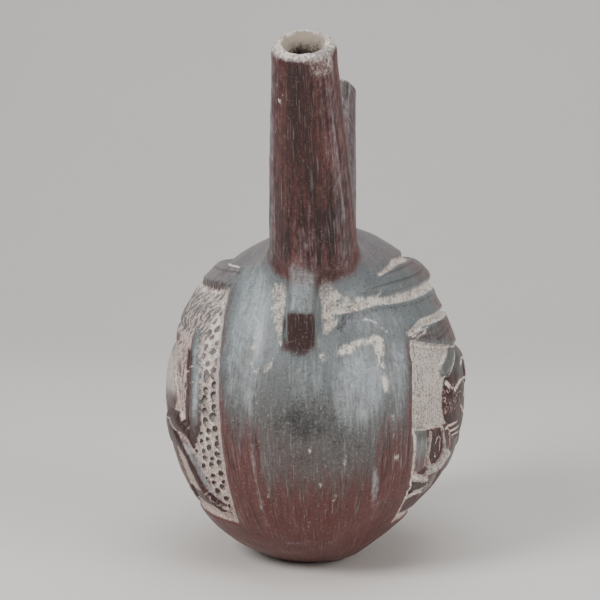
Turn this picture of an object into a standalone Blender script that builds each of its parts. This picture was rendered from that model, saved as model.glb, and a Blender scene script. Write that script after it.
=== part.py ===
"""Mould-made double spout bottle of burnished blackware: one hollow solid on a flat foot.

The bottle stands at the origin, +Z up. Its two spouts lean apart along Y, the front one towards -Y, and
a strap bridge joins them. The sides towards -X and +X carry pressed relief panels, and the bands between
the panels are plain.

The outside starts as overlapping primitives, fused by a voxel remesh. Every vertex then settles onto one
blended form, which rounds the joints as a potter's finger does, and moves out or in by the height of the
relief there. A relief's figures are drawn in its side view: each point is (forward, up) in millimetres,
forward towards -Y and up from the middle of the body.
"""

import math

import bmesh
import bpy
import numpy as np
from mathutils import Matrix, Vector

MM = 0.001
NAME = "bottle"
COLLECTION = "double_spout_bottle"
CUTTER_COLLECTION = "cutters"

# Body: an ellipsoid, a little fuller below the middle, tucked in low on the +X side, cut flat at the foot
BODY_HALF = np.array((59.5, 64.0, 67.5)) * MM
BODY_CENTRE_Z = 64.5 * MM
LOWER_FULLNESS = 2.04
FOOT_SWAY = -1.4 * MM
FOOT_SWAY_Z = 12.0 * MM
FOOT_SWAY_REACH = 16.0 * MM
TUCK = 4.9 * MM
TUCK_FOOT = 11.0 * MM
TUCK_TOP = 42.0 * MM
TUCK_INNER = 8.0 * MM
TUCK_OUTER = 26.0 * MM
WALL = 5.0 * MM
FOOT_TRIM = 0.4 * MM
FOOT_BLOCK = 80.0 * MM

# Spouts: the middle of each foot and rim, and the outer radius at shares of the way up
FRONT_FOOT = np.array((2.1, -37.5, 119.0)) * MM
FRONT_RIM = np.array((1.5, -79.6, 195.2)) * MM
BACK_FOOT = np.array((-2.0, 37.5, 119.0)) * MM
BACK_RIM = np.array((1.5, 77.2, 188.2)) * MM
SPOUT_STATIONS = (-0.25, 0.0, 0.24, 0.53, 0.76, 0.90, 1.0)
SPOUT_RADII = np.array((17.6, 16.5, 15.4, 13.8, 12.2, 11.3, 10.9)) * MM
BACK_SLIMNESS = 0.96
FRONT_RIM_BEVEL = math.radians(6.0)
LIP_ROUND = 3.2 * MM
SPOUT_BLEND = 11.0 * MM

# Bores: radius at each height over the rim, then at each share of the way up from the foot, then below it
BORE_MOUTH = np.array(((12.8, 8.0), (7.7, 0.4), (6.3, -1.6), (5.4, -3.9), (4.8, -6.5), (5.6, -15.6))) * MM
BORE_MIDDLE_RADIUS = 8.4 * MM
BORE_MIDDLE_SHARE = 0.5
BORE_FOOT_RADIUS = 11.0 * MM
BORE_END_RADIUS = 13.0 * MM
BORE_OVERRUN = 16.0 * MM
BORE_SIDES = 20

# Bridge: a flat strap from spout to spout, a little arched
BRIDGE_SIDE = 1.4 * MM
BRIDGE_END_Z = 148.0 * MM
BRIDGE_RISE = 5.0 * MM
BRIDGE_HALF_WIDTH = 8.5 * MM
BRIDGE_HALF_THICKNESS = 3.6 * MM
BRIDGE_REACH = 47.0 * MM
BRIDGE_BLEND = 5.0 * MM

# Lugs: a small wedge at each spout's foot, with a steep top face and an undercut nose
LUG_SIDE = -0.8 * MM
LUG_HALF_WIDTH = 4.8 * MM
LUG_NOSE_REACH = 64.5 * MM
LUG_NOSE_Z = 103.0 * MM
LUG_TOP_SLOPE = math.radians(62.0)
LUG_FRONT_SLOPE = math.radians(23.0)
LUG_ROUND = 2.6 * MM
LUG_BLEND = 5.0 * MM
LUG_ROOT = 18.0 * MM
LUG_DEEP = 12.0 * MM
LUG_TALL = 24.0 * MM

# Relief: how far it reaches from the middle plane, and the width over which it fades out
LEFT_RELIEF_EDGE = -16.0 * MM
RIGHT_RELIEF_EDGE = 10.0 * MM
RELIEF_FADE = 6.0 * MM

# Relief panels: half sizes, middle and curve of the outline, and the depth of the ground
PANEL_CURVE = 2.0
PANEL_STEP = 1.9 * MM
LEFT_PANEL_HALF_WIDTH = 54.2 * MM
LEFT_PANEL_HALF_HEIGHT = 62.7 * MM
LEFT_PANEL_MIDDLE = -2.8 * MM
LEFT_PANEL_TOP = 44.8 * MM
LEFT_PANEL_FOOT = -43.8 * MM
LEFT_GROUND = -1.9 * MM
RIGHT_PANEL_HALF_WIDTH = 48.0 * MM
RIGHT_PANEL_HALF_HEIGHT = 54.0 * MM
RIGHT_PANEL_MIDDLE = -0.6 * MM
RIGHT_PANEL_TOP = 21.0 * MM
RIGHT_PANEL_TOP_CURVE = 3.3
RIGHT_PANEL_FOOT = -47.0 * MM
RIGHT_GROUND = -2.3 * MM
RIGHT_BAND_SINK = -1.1 * MM
RIGHT_BAND_TOP = 41.0 * MM
RIGHT_BAND_FOOT = 20.0 * MM
RIGHT_BAND_FADE = 5.0 * MM

# Sunken dome above the left plate
CROWN_SINK = -2.8 * MM
CROWN_SIDE = -13.0 * MM
CROWN_SIDE_FADE = 18.0 * MM
CROWN_FOOT = 52.4 * MM
CROWN_FOOT_FADE = 1.8 * MM
CROWN_REACH = 30.0 * MM
CROWN_REACH_FADE = 20.0 * MM

# Bands above the panels: the plate and roll stand out, and grooves are cut round them
GROOVE_EDGE = 1.2 * MM
PLATE_HEIGHT = 0.3 * MM
PLATE_SHOULDER = 2.4
PLATE_LIP_HEIGHT = 0.5 * MM
PLATE_LIP_SHOULDER = 1.8
ROLL_HEIGHT = 2.1 * MM
ROLL_SHOULDER = 3.4
UPPER_GROOVE_DEPTH = 1.3 * MM
MIDDLE_GROOVE_DEPTH = 1.0 * MM
LOWER_GROOVE_DEPTH = 1.5 * MM

# Mesh: the voxel of the first skin, and the share of its triangles that the solid keeps
SKIN_VOXEL = 0.85 * MM
SKIN_SHARE = 0.026
SETTLE_PASSES = (5, 3)
SETTLE_STEPS = 3
LARGEST_STEP = 1.2 * MM
PROBE = 0.02 * MM


# ---------------------------------------------------------------- distances

def rounded_union(first, second, blend):
    """Distance to two forms joined with a soft fillet."""
    overlap = np.maximum(blend - np.abs(first - second), 0.0) / blend
    return np.minimum(first, second) - overlap ** 2 * blend * 0.25


def rounded_cut(first, second, blend):
    """Distance to what two forms share, with a rounded edge."""
    return -rounded_union(-first, -second, blend)


def eased(share):
    """A smooth step from 0 to 1 for shares from 0 to 1."""
    share = np.clip(share, 0.0, 1.0)
    return share * share * (3.0 - 2.0 * share)


def tuck(side, height):
    """How far the low wall towards +X is drawn in at each place."""
    return (TUCK * eased((side - TUCK_INNER) / (TUCK_OUTER - TUCK_INNER))
            * eased((TUCK_TOP - height) / (TUCK_TOP - TUCK_FOOT)))


def body_distance(points):
    """Distance to the plain body."""
    height = points[:, 2] - BODY_CENTRE_Z
    sway = FOOT_SWAY * np.exp(-((points[:, 2] - FOOT_SWAY_Z) / FOOT_SWAY_REACH) ** 2)
    across = (points[:, 0] - sway + tuck(points[:, 0], points[:, 2])) / BODY_HALF[0]
    along = points[:, 1] / BODY_HALF[1]
    power = np.where(height < 0.0, LOWER_FULLNESS, 2.0)
    ring = np.hypot(across, along)
    size = (ring ** power + (np.abs(height) / BODY_HALF[2]) ** power) ** (1.0 / power)
    return (size - 1.0) * BODY_HALF.mean()


def spout_distance(points, foot, rim, bevel, slimness):
    """Distance to one spout: a tapering round bar with a rounded end."""
    axis = rim - foot
    length = np.linalg.norm(axis)
    axis = axis / length
    along = (points - foot) @ axis
    radius = np.interp(along / length, SPOUT_STATIONS, SPOUT_RADII * slimness)
    side = np.linalg.norm(points - foot - along[:, None] * axis, axis=1) - radius
    outward = math.copysign(1.0, rim[1])
    lean = math.atan2(axis[1], axis[2]) + outward * bevel
    face = np.array((0.0, math.sin(lean), math.cos(lean)))
    capped = rounded_cut(side, (points - rim) @ face, LIP_ROUND)
    return np.maximum(capped, SPOUT_STATIONS[0] * length - along)


def bridge_distance(points):
    """Distance to the strap between the spouts."""
    share = points[:, 1] / BRIDGE_REACH
    middle = BRIDGE_END_Z + BRIDGE_RISE * (1.0 - share ** 2)
    across = np.abs(points[:, 0] - BRIDGE_SIDE) - BRIDGE_HALF_WIDTH
    upward = np.abs(points[:, 2] - middle) - BRIDGE_HALF_THICKNESS
    strap = rounded_cut(across, upward, BRIDGE_HALF_THICKNESS)
    return np.maximum(strap, np.abs(points[:, 1]) - BRIDGE_REACH)


def lug_distance(points):
    """Distance to the pair of lugs, one at each spout's foot."""
    outward = np.abs(points[:, 1]) - LUG_NOSE_REACH
    upward = points[:, 2] - LUG_NOSE_Z
    top = outward * math.sin(LUG_TOP_SLOPE) + upward * math.cos(LUG_TOP_SLOPE)
    front = outward * math.cos(LUG_FRONT_SLOPE) - upward * math.sin(LUG_FRONT_SLOPE)
    side = np.abs(points[:, 0] - LUG_SIDE) - LUG_HALF_WIDTH
    wedge = rounded_cut(rounded_cut(top, front, LUG_ROUND), side, LUG_ROUND)
    return np.maximum(wedge, -outward - LUG_ROOT)


def form_distance(points):
    """Distance to the whole outer form, without its relief."""
    spouts = np.minimum(spout_distance(points, FRONT_FOOT, FRONT_RIM, FRONT_RIM_BEVEL, 1.0),
                        spout_distance(points, BACK_FOOT, BACK_RIM, 0.0, BACK_SLIMNESS))
    spouts = rounded_union(spouts, bridge_distance(points), BRIDGE_BLEND)
    bottle = rounded_union(body_distance(points), spouts, SPOUT_BLEND)
    return rounded_union(bottle, lug_distance(points), LUG_BLEND)


def form_slope(points):
    """Gradient of the form's distance."""
    slope = np.empty_like(points)
    for axis in range(3):
        step = np.zeros(3)
        step[axis] = PROBE
        slope[:, axis] = (form_distance(points + step) - form_distance(points - step)) / (2.0 * PROBE)
    return slope


def settle(points):
    """Points moved along the slope onto the form, and the outward direction there."""
    for _ in range(SETTLE_STEPS):
        slope = form_slope(points)
        step = slope * (form_distance(points) / (slope ** 2).sum(axis=1))[:, None]
        size = np.linalg.norm(step, axis=1)[:, None]
        points = points - step * np.minimum(1.0, LARGEST_STEP / np.maximum(size, PROBE))
    slope = form_slope(points)
    return points, slope / np.linalg.norm(slope, axis=1)[:, None]


# ---------------------------------------------------------------- relief drawing

def stroke(forward, up, points, radii):
    """Distance to a line through points, with a radius at each, negative inside it."""
    places = np.array(points) * MM
    radii = np.array(radii) * MM
    nearest = np.full(forward.shape, np.inf)
    for start, end, first, last in zip(places[:-1], places[1:], radii[:-1], radii[1:]):
        run = end - start
        share = np.clip(((forward - start[0]) * run[0] + (up - start[1]) * run[1]) / (run @ run), 0.0, 1.0)
        reach = np.hypot(forward - start[0] - share * run[0], up - start[1] - share * run[1])
        nearest = np.minimum(nearest, reach - first - share * (last - first))
    return nearest


def oval(forward, up, centre, half, turn=0.0):
    """Distance to an oval, turned by degrees from level towards up."""
    angle = math.radians(turn)
    across = forward - centre[0] * MM
    rise = up - centre[1] * MM
    long_way = (across * math.cos(angle) + rise * math.sin(angle)) / (half[0] * MM)
    short_way = (rise * math.cos(angle) - across * math.sin(angle)) / (half[1] * MM)
    return (np.hypot(long_way, short_way) - 1.0) * min(half) * MM


def inside(distance, edge):
    """1 well inside a shape and 0 outside, with a smooth edge."""
    return eased(0.5 - distance / edge)


def rounded(distance, shoulder):
    """A rounded swell: 0 at the shape's edge, 1 at the shoulder's width inside it."""
    share = np.clip(1.0 + distance / (shoulder * MM), 0.0, 1.0)
    return np.sqrt(1.0 - share ** 2)


def panel_sides(forward, up, half_width, half_height, middle):
    """Distance to the curved sides of a panel's outline."""
    size = ((np.abs(forward) / half_width) ** PANEL_CURVE
            + (np.abs(up - middle) / half_height) ** PANEL_CURVE) ** (1.0 / PANEL_CURVE)
    return (size - 1.0) * half_width


# Each part of a figure: outline, height over the ground and width of its rounded shoulder (mm)
def left_figures(forward, up):
    """The crested animal of the left panel, seen from its side, with its tail raised."""
    return (
        ("mane", oval(forward, up, (0.0, 36.5), (38.0, 8.5)), 1.6, 3.0),
        ("torso", oval(forward, up, (-1.0, 5.0), (31.0, 15.5), -3.0), 1.9, 8.0),
        ("haunch", stroke(forward, up, ((22.0, -10.0), (33.0, -7.0), (38.5, -9.5)),
                          (6.4, 4.0, 2.6)), 2.6, 5.0),
        ("near_hind_leg", stroke(forward, up, ((25.0, -12.5), (33.0, -15.0), (37.0, -19.0), (37.4, -25.0),
                                               (37.2, -31.0), (38.6, -36.0), (40.4, -39.0)),
                                 (5.4, 3.2, 2.7, 2.5, 2.4, 2.2, 1.4)), 2.7, 2.6),
        ("far_hind_leg", stroke(forward, up, ((9.0, -12.0), (13.0, -26.0), (11.5, -40.0)),
                                (9.0, 6.8, 5.0)), 1.7, 6.0),
        ("tail", stroke(forward, up, ((35.8, 27.0), (40.8, 18.5), (43.6, 10.0), (44.6, 3.0), (44.2, -5.0),
                                      (41.6, -12.5)), (2.2, 2.9, 2.9, 2.8, 2.6, 1.2)), 2.0, 2.8),
        ("claw_pad", stroke(forward, up, ((37.8, -34.5), (40.6, -39.0)), (3.2, 1.8)), 1.5, 1.8),
        ("neck", stroke(forward, up, ((-20.0, 8.0), (-31.0, 15.0)), (9.0, 7.5)), 2.8, 6.0),
        ("head", stroke(forward, up, ((-31.0, 14.0), (-41.0, 9.0)), (9.0, 4.6)), 3.6, 5.0),
        ("ear", stroke(forward, up, ((-29.0, 21.0), (-30.0, 28.0)), (3.4, 1.6)), 3.6, 2.4),
        ("crest", stroke(forward, up, ((-26.0, 20.0), (-16.0, 25.5), (-4.0, 25.8), (8.0, 25.8), (24.0, 21.0)),
                         (2.4, 3.4, 3.6, 3.4, 0.8)), 2.0, 2.6),
        ("near_fore_leg", stroke(forward, up, ((-18.0, -6.0), (-21.0, -24.0), (-22.0, -40.0)),
                                 (7.5, 5.2, 4.4)), 3.2, 4.0),
        ("raised_paw", stroke(forward, up, ((-29.0, -4.0), (-38.0, -14.0), (-43.0, -9.0)),
                              (6.0, 4.4, 3.6)), 2.8, 3.4),
    )


def right_figures(forward, up):
    """The bird of the right panel, with a folded wing, a looped tail and a clawed foot."""
    return (
        ("body", oval(forward, up, (5.0, 2.0), (27.0, 19.0), 0.0), 1.6, 8.0),
        ("leaf", stroke(forward, up, ((12.0, 21.5), (20.0, 18.0), (27.0, 14.5), (30.5, 12.8)),
                        (1.6, 2.5, 2.9, 1.6)), 2.1, 3.0),
        ("tail_root", stroke(forward, up, ((44.4, -9.6), (43.6, -14.0), (41.0, -20.5)),
                             (3.6, 3.8, 3.4)), 1.9, 3.0),
        ("tail_loop", stroke(forward, up, ((40.6, -8.2), (40.4, -13.5), (39.2, -18.6), (36.0, -22.0),
                                           (31.4, -22.4), (28.0, -19.0), (28.2, -15.8), (32.4, -11.0),
                                           (34.6, -8.2)),
                             (0.7, 0.7, 0.8, 1.0, 1.2, 1.1, 0.8, 0.7, 0.6)), 2.7, 1.0),
        ("tail_band", stroke(forward, up, ((35.0, -24.6), (29.0, -23.4), (24.6, -19.0)),
                             (1.3, 1.9, 1.7)), 2.9, 1.6),
        ("upper_claw", stroke(forward, up, ((43.6, -24.0), (38.6, -26.4), (32.0, -28.4)),
                              (0.9, 1.4, 1.2)), 2.0, 1.4),
        ("middle_claw", stroke(forward, up, ((41.4, -28.8), (36.0, -30.4), (29.0, -31.2)),
                               (1.6, 2.2, 1.6)), 1.6, 2.0),
        ("lower_claw", stroke(forward, up, ((39.6, -35.4), (34.4, -34.4), (29.0, -32.8)),
                              (1.0, 1.2, 1.0)), 1.4, 1.2),
        ("claw_root", stroke(forward, up, ((26.0, -29.0), (24.0, -33.5)), (3.0, 3.4)), 1.4, 2.4),
        ("neck", stroke(forward, up, ((-12.0, 9.0), (-24.0, 2.0), (-32.0, 3.0), (-35.0, 12.0)),
                        (9.0, 6.0, 4.6, 4.4)), 3.0, 4.0),
        ("head", oval(forward, up, (-35.0, 15.5), (7.0, 5.4), 0.0), 3.8, 4.0),
        ("beak", stroke(forward, up, ((-40.0, 15.5), (-44.5, 12.0), (-44.5, 5.5)),
                        (2.8, 2.0, 1.0)), 3.0, 2.0),
        ("thigh", oval(forward, up, (-8.0, -14.0), (9.0, 10.0), 0.0), 1.8, 5.0),
        ("foot", oval(forward, up, (4.0, -24.0), (14.0, 8.0), 0.0), 1.1, 4.0),
        ("shank", stroke(forward, up, ((-10.0, -20.0), (-16.0, -31.0), (-15.0, -41.0)),
                         (4.6, 3.2, 2.8)), 2.7, 2.6),
        ("toes", stroke(forward, up, ((-15.0, -41.5), (-30.0, -41.0)), (2.6, 1.6)), 2.5, 1.8),
    )


def lift(ground, figures):
    """A panel's height once its figures stand on its ground."""
    height = ground
    for _name, distance, rise, shoulder in figures:
        height = np.maximum(height, ground + rise * MM * rounded(distance, shoulder))
    return height


def left_relief(forward, up):
    """Height of the relief on the side towards -X."""
    sides = panel_sides(forward, up, LEFT_PANEL_HALF_WIDTH, LEFT_PANEL_HALF_HEIGHT, LEFT_PANEL_MIDDLE)
    panel = np.maximum.reduce((sides, up - LEFT_PANEL_TOP, LEFT_PANEL_FOOT - up))
    ground = np.full(forward.shape, LEFT_GROUND)
    height = lift(ground, left_figures(forward, up)) * inside(panel, PANEL_STEP)
    plate = stroke(forward, up, ((-30.0, 48.4), (30.0, 48.4)), (3.6, 3.6))
    lip = stroke(forward, up, ((-30.0, 45.8), (30.0, 45.8)), (1.9, 1.9))
    return height + np.maximum(PLATE_HEIGHT * rounded(plate, PLATE_SHOULDER),
                               PLATE_LIP_HEIGHT * rounded(lip, PLATE_LIP_SHOULDER))


def right_relief(forward, up):
    """Height of the relief on the side towards +X."""
    sides = panel_sides(forward, up, RIGHT_PANEL_HALF_WIDTH, RIGHT_PANEL_HALF_HEIGHT, RIGHT_PANEL_MIDDLE)
    top = RIGHT_PANEL_TOP + RIGHT_PANEL_TOP_CURVE * forward ** 2
    panel = np.maximum.reduce((sides, up - top, RIGHT_PANEL_FOOT - up))
    height = lift(RIGHT_GROUND, right_figures(forward, up)) * inside(panel, PANEL_STEP)
    band = inside(up - RIGHT_BAND_TOP, RIGHT_BAND_FADE) * inside(RIGHT_BAND_FOOT - up, RIGHT_BAND_FADE)
    reach = np.abs(forward)
    roll = stroke(reach, up, ((-1.0, 48.8), (22.0, 48.2), (36.0, 45.5), (46.0, 44.0)), (4.2, 4.0, 3.0, 0.6))
    upper = stroke(reach, up, ((-1.0, 54.4), (18.0, 53.8), (34.0, 49.6)), (1.0, 1.0, 0.4))
    middle = stroke(reach, up, ((-1.0, 43.6), (15.0, 43.4), (30.0, 41.8), (44.0, 40.8), (52.0, 38.0)),
                    (1.5, 1.5, 1.3, 1.0, 0.6))
    lower = stroke(reach, up, ((-1.0, 33.6), (14.0, 33.4), (32.0, 32.4), (41.0, 29.0)), (1.2, 1.2, 0.9, 0.4))
    height = height + RIGHT_BAND_SINK * band + ROLL_HEIGHT * rounded(roll, ROLL_SHOULDER)
    grooves = ((upper, UPPER_GROOVE_DEPTH), (middle, MIDDLE_GROOVE_DEPTH), (lower, LOWER_GROOVE_DEPTH))
    for cut, depth in grooves:
        height = height - depth * inside(cut, GROOVE_EDGE)
    return height


def relief_height(points):
    """Height of the pressed relief over the plain form at each point of it."""
    forward = -points[:, 1]
    up = points[:, 2] - BODY_CENTRE_Z
    left = left_relief(forward, up) * inside(points[:, 0] - LEFT_RELIEF_EDGE, RELIEF_FADE)
    right = right_relief(forward, up) * inside(RIGHT_RELIEF_EDGE - points[:, 0], RELIEF_FADE)
    crown = (inside(points[:, 0] - CROWN_SIDE, CROWN_SIDE_FADE) * inside(CROWN_FOOT - up, CROWN_FOOT_FADE)
             * inside(np.abs(forward) - CROWN_REACH, CROWN_REACH_FADE))
    return left + right + CROWN_SINK * crown


# ---------------------------------------------------------------- building

def collection(name):
    """A new collection of the scene."""
    made = bpy.data.collections.new(name)
    bpy.context.scene.collection.children.link(made)
    return made


def mesh_object(name, bm, where):
    """An object made from a bmesh, in a collection."""
    mesh = bpy.data.meshes.new(name)
    bm.to_mesh(mesh)
    bm.free()
    made = bpy.data.objects.new(name, mesh)
    where.objects.link(made)
    return made


def evaluated_mesh(source):
    """The object's mesh with its modifiers applied."""
    graph = bpy.context.evaluated_depsgraph_get()
    return bpy.data.meshes.new_from_object(source.evaluated_get(graph))


def aim(start, end):
    """Matrix that puts local Z along a line from start."""
    way = Vector(end - start)
    return Matrix.Translation(Vector(start)) @ way.to_track_quat("Z", "Y").to_matrix().to_4x4()


def first_blocks():
    """The overlapping primitives that the outer skin is fused from."""
    bm = bmesh.new()
    ball = Matrix.Translation((0.0, 0.0, BODY_CENTRE_Z)) @ Matrix.Diagonal((*BODY_HALF, 1.0))
    bmesh.ops.create_uvsphere(bm, u_segments=96, v_segments=48, radius=1.0, matrix=ball)
    for foot, rim in ((FRONT_FOOT, FRONT_RIM), (BACK_FOOT, BACK_RIM)):
        length = float(np.linalg.norm(rim - foot))
        buried = -SPOUT_STATIONS[0] * length
        cone = aim(foot, rim) @ Matrix.Translation((0.0, 0.0, (length - buried) / 2.0))
        bmesh.ops.create_cone(bm, cap_ends=True, segments=48, radius1=SPOUT_RADII[1],
                              radius2=SPOUT_RADII[-1], depth=length + buried, matrix=cone)
        outward = math.copysign(1.0, rim[1])
        lug = (Matrix.Translation((LUG_SIDE, outward * (LUG_NOSE_REACH - LUG_DEEP), LUG_NOSE_Z))
               @ Matrix.Diagonal((1.0, outward * LUG_DEEP, LUG_TALL, 1.0))
               @ Matrix.Rotation(math.radians(90.0), 4, "Y"))
        bmesh.ops.create_cone(bm, cap_ends=True, segments=3, radius1=1.0, radius2=1.0,
                              depth=LUG_HALF_WIDTH * 2.0, matrix=lug)
    strap_size = (BRIDGE_HALF_WIDTH * 2.0, BRIDGE_REACH * 2.0, BRIDGE_HALF_THICKNESS * 2.0)
    strap = (Matrix.Translation((BRIDGE_SIDE, 0.0, BRIDGE_END_Z + BRIDGE_RISE / 2.0))
             @ Matrix.Diagonal((*strap_size, 1.0)))
    bmesh.ops.create_cube(bm, size=1.0, matrix=strap)
    return bm


def fused(shapes, where):
    """One even skin round a bmesh of closed shapes that overlap."""
    blocks = mesh_object("blocks", shapes, where)
    remesh = blocks.modifiers.new("Fuse", "REMESH")
    remesh.mode = "VOXEL"
    remesh.voxel_size = SKIN_VOXEL
    bm = bmesh.new()
    bm.from_mesh(evaluated_mesh(blocks))
    bpy.data.objects.remove(blocks)
    return bm


def put(bm, places):
    """Move the vertices of a bmesh to new places."""
    for vert, place in zip(bm.verts, places):
        vert.co = place


def outer_skin(where):
    """The fused skin, settled onto the blended form, raised by its relief and level just below the foot."""
    bm = fused(first_blocks(), where)
    for passes in SETTLE_PASSES:
        for _ in range(passes):
            bmesh.ops.smooth_vert(bm, verts=bm.verts, factor=0.5, use_axis_x=True, use_axis_y=True,
                                  use_axis_z=True)
            places, outward = settle(np.array([vert.co for vert in bm.verts], dtype=float))
            put(bm, places)
        if passes != SETTLE_PASSES[-1]:
            bm = fused(bm, where)
    places = places + outward * relief_height(places)[:, None]
    places[:, 2] = np.maximum(places[:, 2], -FOOT_TRIM)
    put(bm, places)
    return bm


def turned_cutter(name, profile, matrix, where, steps):
    """A closed turned shape from a profile of (radius, height), listed top to bottom."""
    bm = bmesh.new()
    verts = [bm.verts.new((radius, 0.0, height)) for radius, height in profile]
    for first, second in zip(verts[:-1], verts[1:]):
        bm.edges.new((first, second))
    cutter = mesh_object(name, bm, where)
    cutter.matrix_world = matrix
    screw = cutter.modifiers.new("Turn", "SCREW")
    screw.steps = steps
    screw.render_steps = steps
    screw.use_merge_vertices = True
    screw.merge_threshold = 0.00005
    return cutter


def bore_cutter(name, foot, rim, where):
    """The channel of one spout, from above its rim to inside the body."""
    length = float(np.linalg.norm(rim - foot))
    mouth = [(radius, length + height) for radius, height in BORE_MOUTH]
    profile = [
        (0.0, mouth[0][1]),
        *mouth,
        (BORE_MIDDLE_RADIUS, length * BORE_MIDDLE_SHARE),
        (BORE_FOOT_RADIUS, 0.0),
        (BORE_END_RADIUS, -BORE_OVERRUN),
        (0.0, -BORE_OVERRUN),
    ]
    return turned_cutter(name, profile, aim(foot, rim), where, BORE_SIDES)


def cavity_cutter(where):
    """The hollow of the body, its wall's thickness inside the plain form."""
    bm = bmesh.new()
    half = BODY_HALF - WALL
    place = Matrix.Translation((0.0, 0.0, BODY_CENTRE_Z)) @ Matrix.Diagonal((*half, 1.0))
    bmesh.ops.create_uvsphere(bm, u_segments=36, v_segments=20, radius=1.0, matrix=place)
    floor = [vert for vert in bm.verts if vert.co.z < WALL]
    for vert in floor:
        vert.co.z = WALL
    for vert in bm.verts:
        vert.co.x -= float(tuck(vert.co.x, vert.co.z))
    return mesh_object("cavity", bm, where)


def foot_cutter(where):
    """A block that cuts the foot flat at Z = 0."""
    bm = bmesh.new()
    bmesh.ops.create_cube(bm, size=FOOT_BLOCK, matrix=Matrix.Translation((0.0, 0.0, -FOOT_BLOCK / 2.0)))
    return mesh_object("foot_plane", bm, where)


def clay():
    """The burnished blackware."""
    made = bpy.data.materials.new("burnished_blackware")
    made.use_nodes = True
    shader = made.node_tree.nodes["Principled BSDF"]
    shader.inputs["Base Color"].default_value = (0.105, 0.095, 0.09, 1.0)
    shader.inputs["Roughness"].default_value = 0.42
    shader.inputs["Metallic"].default_value = 0.0
    made.diffuse_color = (0.105, 0.095, 0.09, 1.0)
    return made


def build():
    """Model the bottle and leave it in the scene."""
    for existing in list(bpy.data.objects):
        bpy.data.objects.remove(existing)
    parts = collection(COLLECTION)
    cutters = collection(CUTTER_COLLECTION)

    bottle = mesh_object(NAME, outer_skin(parts), parts)
    bottle.data.materials.append(clay())
    thin = bottle.modifiers.new("Fewer faces", "DECIMATE")
    thin.ratio = SKIN_SHARE
    tools = (foot_cutter(cutters), cavity_cutter(cutters),
             bore_cutter("front_bore", FRONT_FOOT, FRONT_RIM, cutters),
             bore_cutter("back_bore", BACK_FOOT, BACK_RIM, cutters))
    for tool in tools:
        tool.hide_render = True
        tool.display_type = "WIRE"
        cut = bottle.modifiers.new(tool.name, "BOOLEAN")
        cut.operation = "DIFFERENCE"
        cut.solver = "EXACT"
        cut.object = tool
    bottle.data.shade_smooth()


build()
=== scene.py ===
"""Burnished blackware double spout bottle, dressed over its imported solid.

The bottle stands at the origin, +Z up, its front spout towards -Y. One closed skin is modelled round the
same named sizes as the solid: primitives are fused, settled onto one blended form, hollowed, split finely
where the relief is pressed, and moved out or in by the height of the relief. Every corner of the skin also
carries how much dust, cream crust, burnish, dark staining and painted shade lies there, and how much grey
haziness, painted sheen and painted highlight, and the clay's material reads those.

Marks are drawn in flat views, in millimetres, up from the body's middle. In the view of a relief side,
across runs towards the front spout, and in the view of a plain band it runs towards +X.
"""

import logging
import math
from collections.abc import Callable
from dataclasses import dataclass
from enum import Enum

import bmesh
import bpy
import numpy as np
from mathutils import Matrix, Vector


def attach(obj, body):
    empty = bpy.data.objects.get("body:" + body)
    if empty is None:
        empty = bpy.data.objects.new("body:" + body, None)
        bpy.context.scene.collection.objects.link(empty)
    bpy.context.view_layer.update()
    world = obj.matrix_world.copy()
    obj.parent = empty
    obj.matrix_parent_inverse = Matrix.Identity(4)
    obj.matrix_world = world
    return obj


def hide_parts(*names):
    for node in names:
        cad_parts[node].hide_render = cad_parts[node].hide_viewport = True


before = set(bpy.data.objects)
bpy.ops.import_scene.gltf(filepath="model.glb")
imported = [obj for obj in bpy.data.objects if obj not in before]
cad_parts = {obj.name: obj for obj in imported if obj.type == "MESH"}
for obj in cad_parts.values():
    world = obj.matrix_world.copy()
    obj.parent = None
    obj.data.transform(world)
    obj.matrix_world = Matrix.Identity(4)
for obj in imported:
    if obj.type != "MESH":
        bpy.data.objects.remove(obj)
LOG = logging.getLogger("double_spout_bottle")

MM = 0.001
PROBE = 0.02 * MM
LEVEL = 0.001 * MM
NODE = "bottle"
BODY = "root"
Array = np.ndarray


class Trait(Enum):
    """What each corner of the skin carries for the clay's material."""

    DUST = "dust"
    CREAM = "cream"
    GLOSS = "gloss"
    HAZE_AND_SHEEN = "haze"
    SOOT = "soot"
    WARM = "warm"
    STAIN_AND_SHADE = "stain"
    LINES = "lines"
    ACROSS = "across"
    SPOUT = "spout"
    HOLLOW = "hollow"
    GRAIN = "grain"


FINISHES = (Trait.DUST, Trait.CREAM, Trait.GLOSS, Trait.HAZE_AND_SHEEN, Trait.SOOT, Trait.WARM, Trait.STAIN_AND_SHADE,
            Trait.LINES)


# ---------------------------------------------------------------- drawing

def eased(share: Array) -> Array:
    """A smooth step from 0 to 1 for shares from 0 to 1."""
    share = np.clip(share, 0.0, 1.0)
    return share * share * (3.0 - 2.0 * share)


def blended(first: Array, second: Array, blend: float) -> Array:
    """Distance to two forms joined with a soft fillet that reaches as far as blend."""
    overlap = np.maximum(blend - np.abs(first - second), 0.0) / blend
    return np.minimum(first, second) - overlap ** 2 * blend * 0.25


def shared(first: Array, second: Array, blend: float) -> Array:
    """Distance to what two forms share, its edge rounded as far as blend."""
    return -blended(-first, -second, blend)


def within(distance: Array, edge: float) -> Array:
    """1 well inside a shape and 0 outside it, with a smooth edge of this width."""
    return eased(0.5 - distance / edge)


def band(value: Array, middle: float, half: float, edge: float) -> Array:
    """1 where a value lies within half of the middle and 0 outside, with a smooth edge of this width."""
    return within(np.abs(value - middle) - half, edge)


def swell(distance: Array, shoulder: float) -> Array:
    """A rounded swell: 0 at a shape's edge and 1 at the shoulder's width inside it."""
    return np.sqrt(1.0 - np.clip(1.0 + distance / shoulder, 0.0, 1.0) ** 2)


def chance(column: Array, row: Array, seed: float) -> Array:
    """An even scatter from -1 to 1, one value for each cell and the same on every run."""
    mixed = np.sin(column * 12.9898 + row * 78.233 + seed * 37.719) * 43758.5453
    return (mixed - np.floor(mixed)) * 2.0 - 1.0


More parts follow.
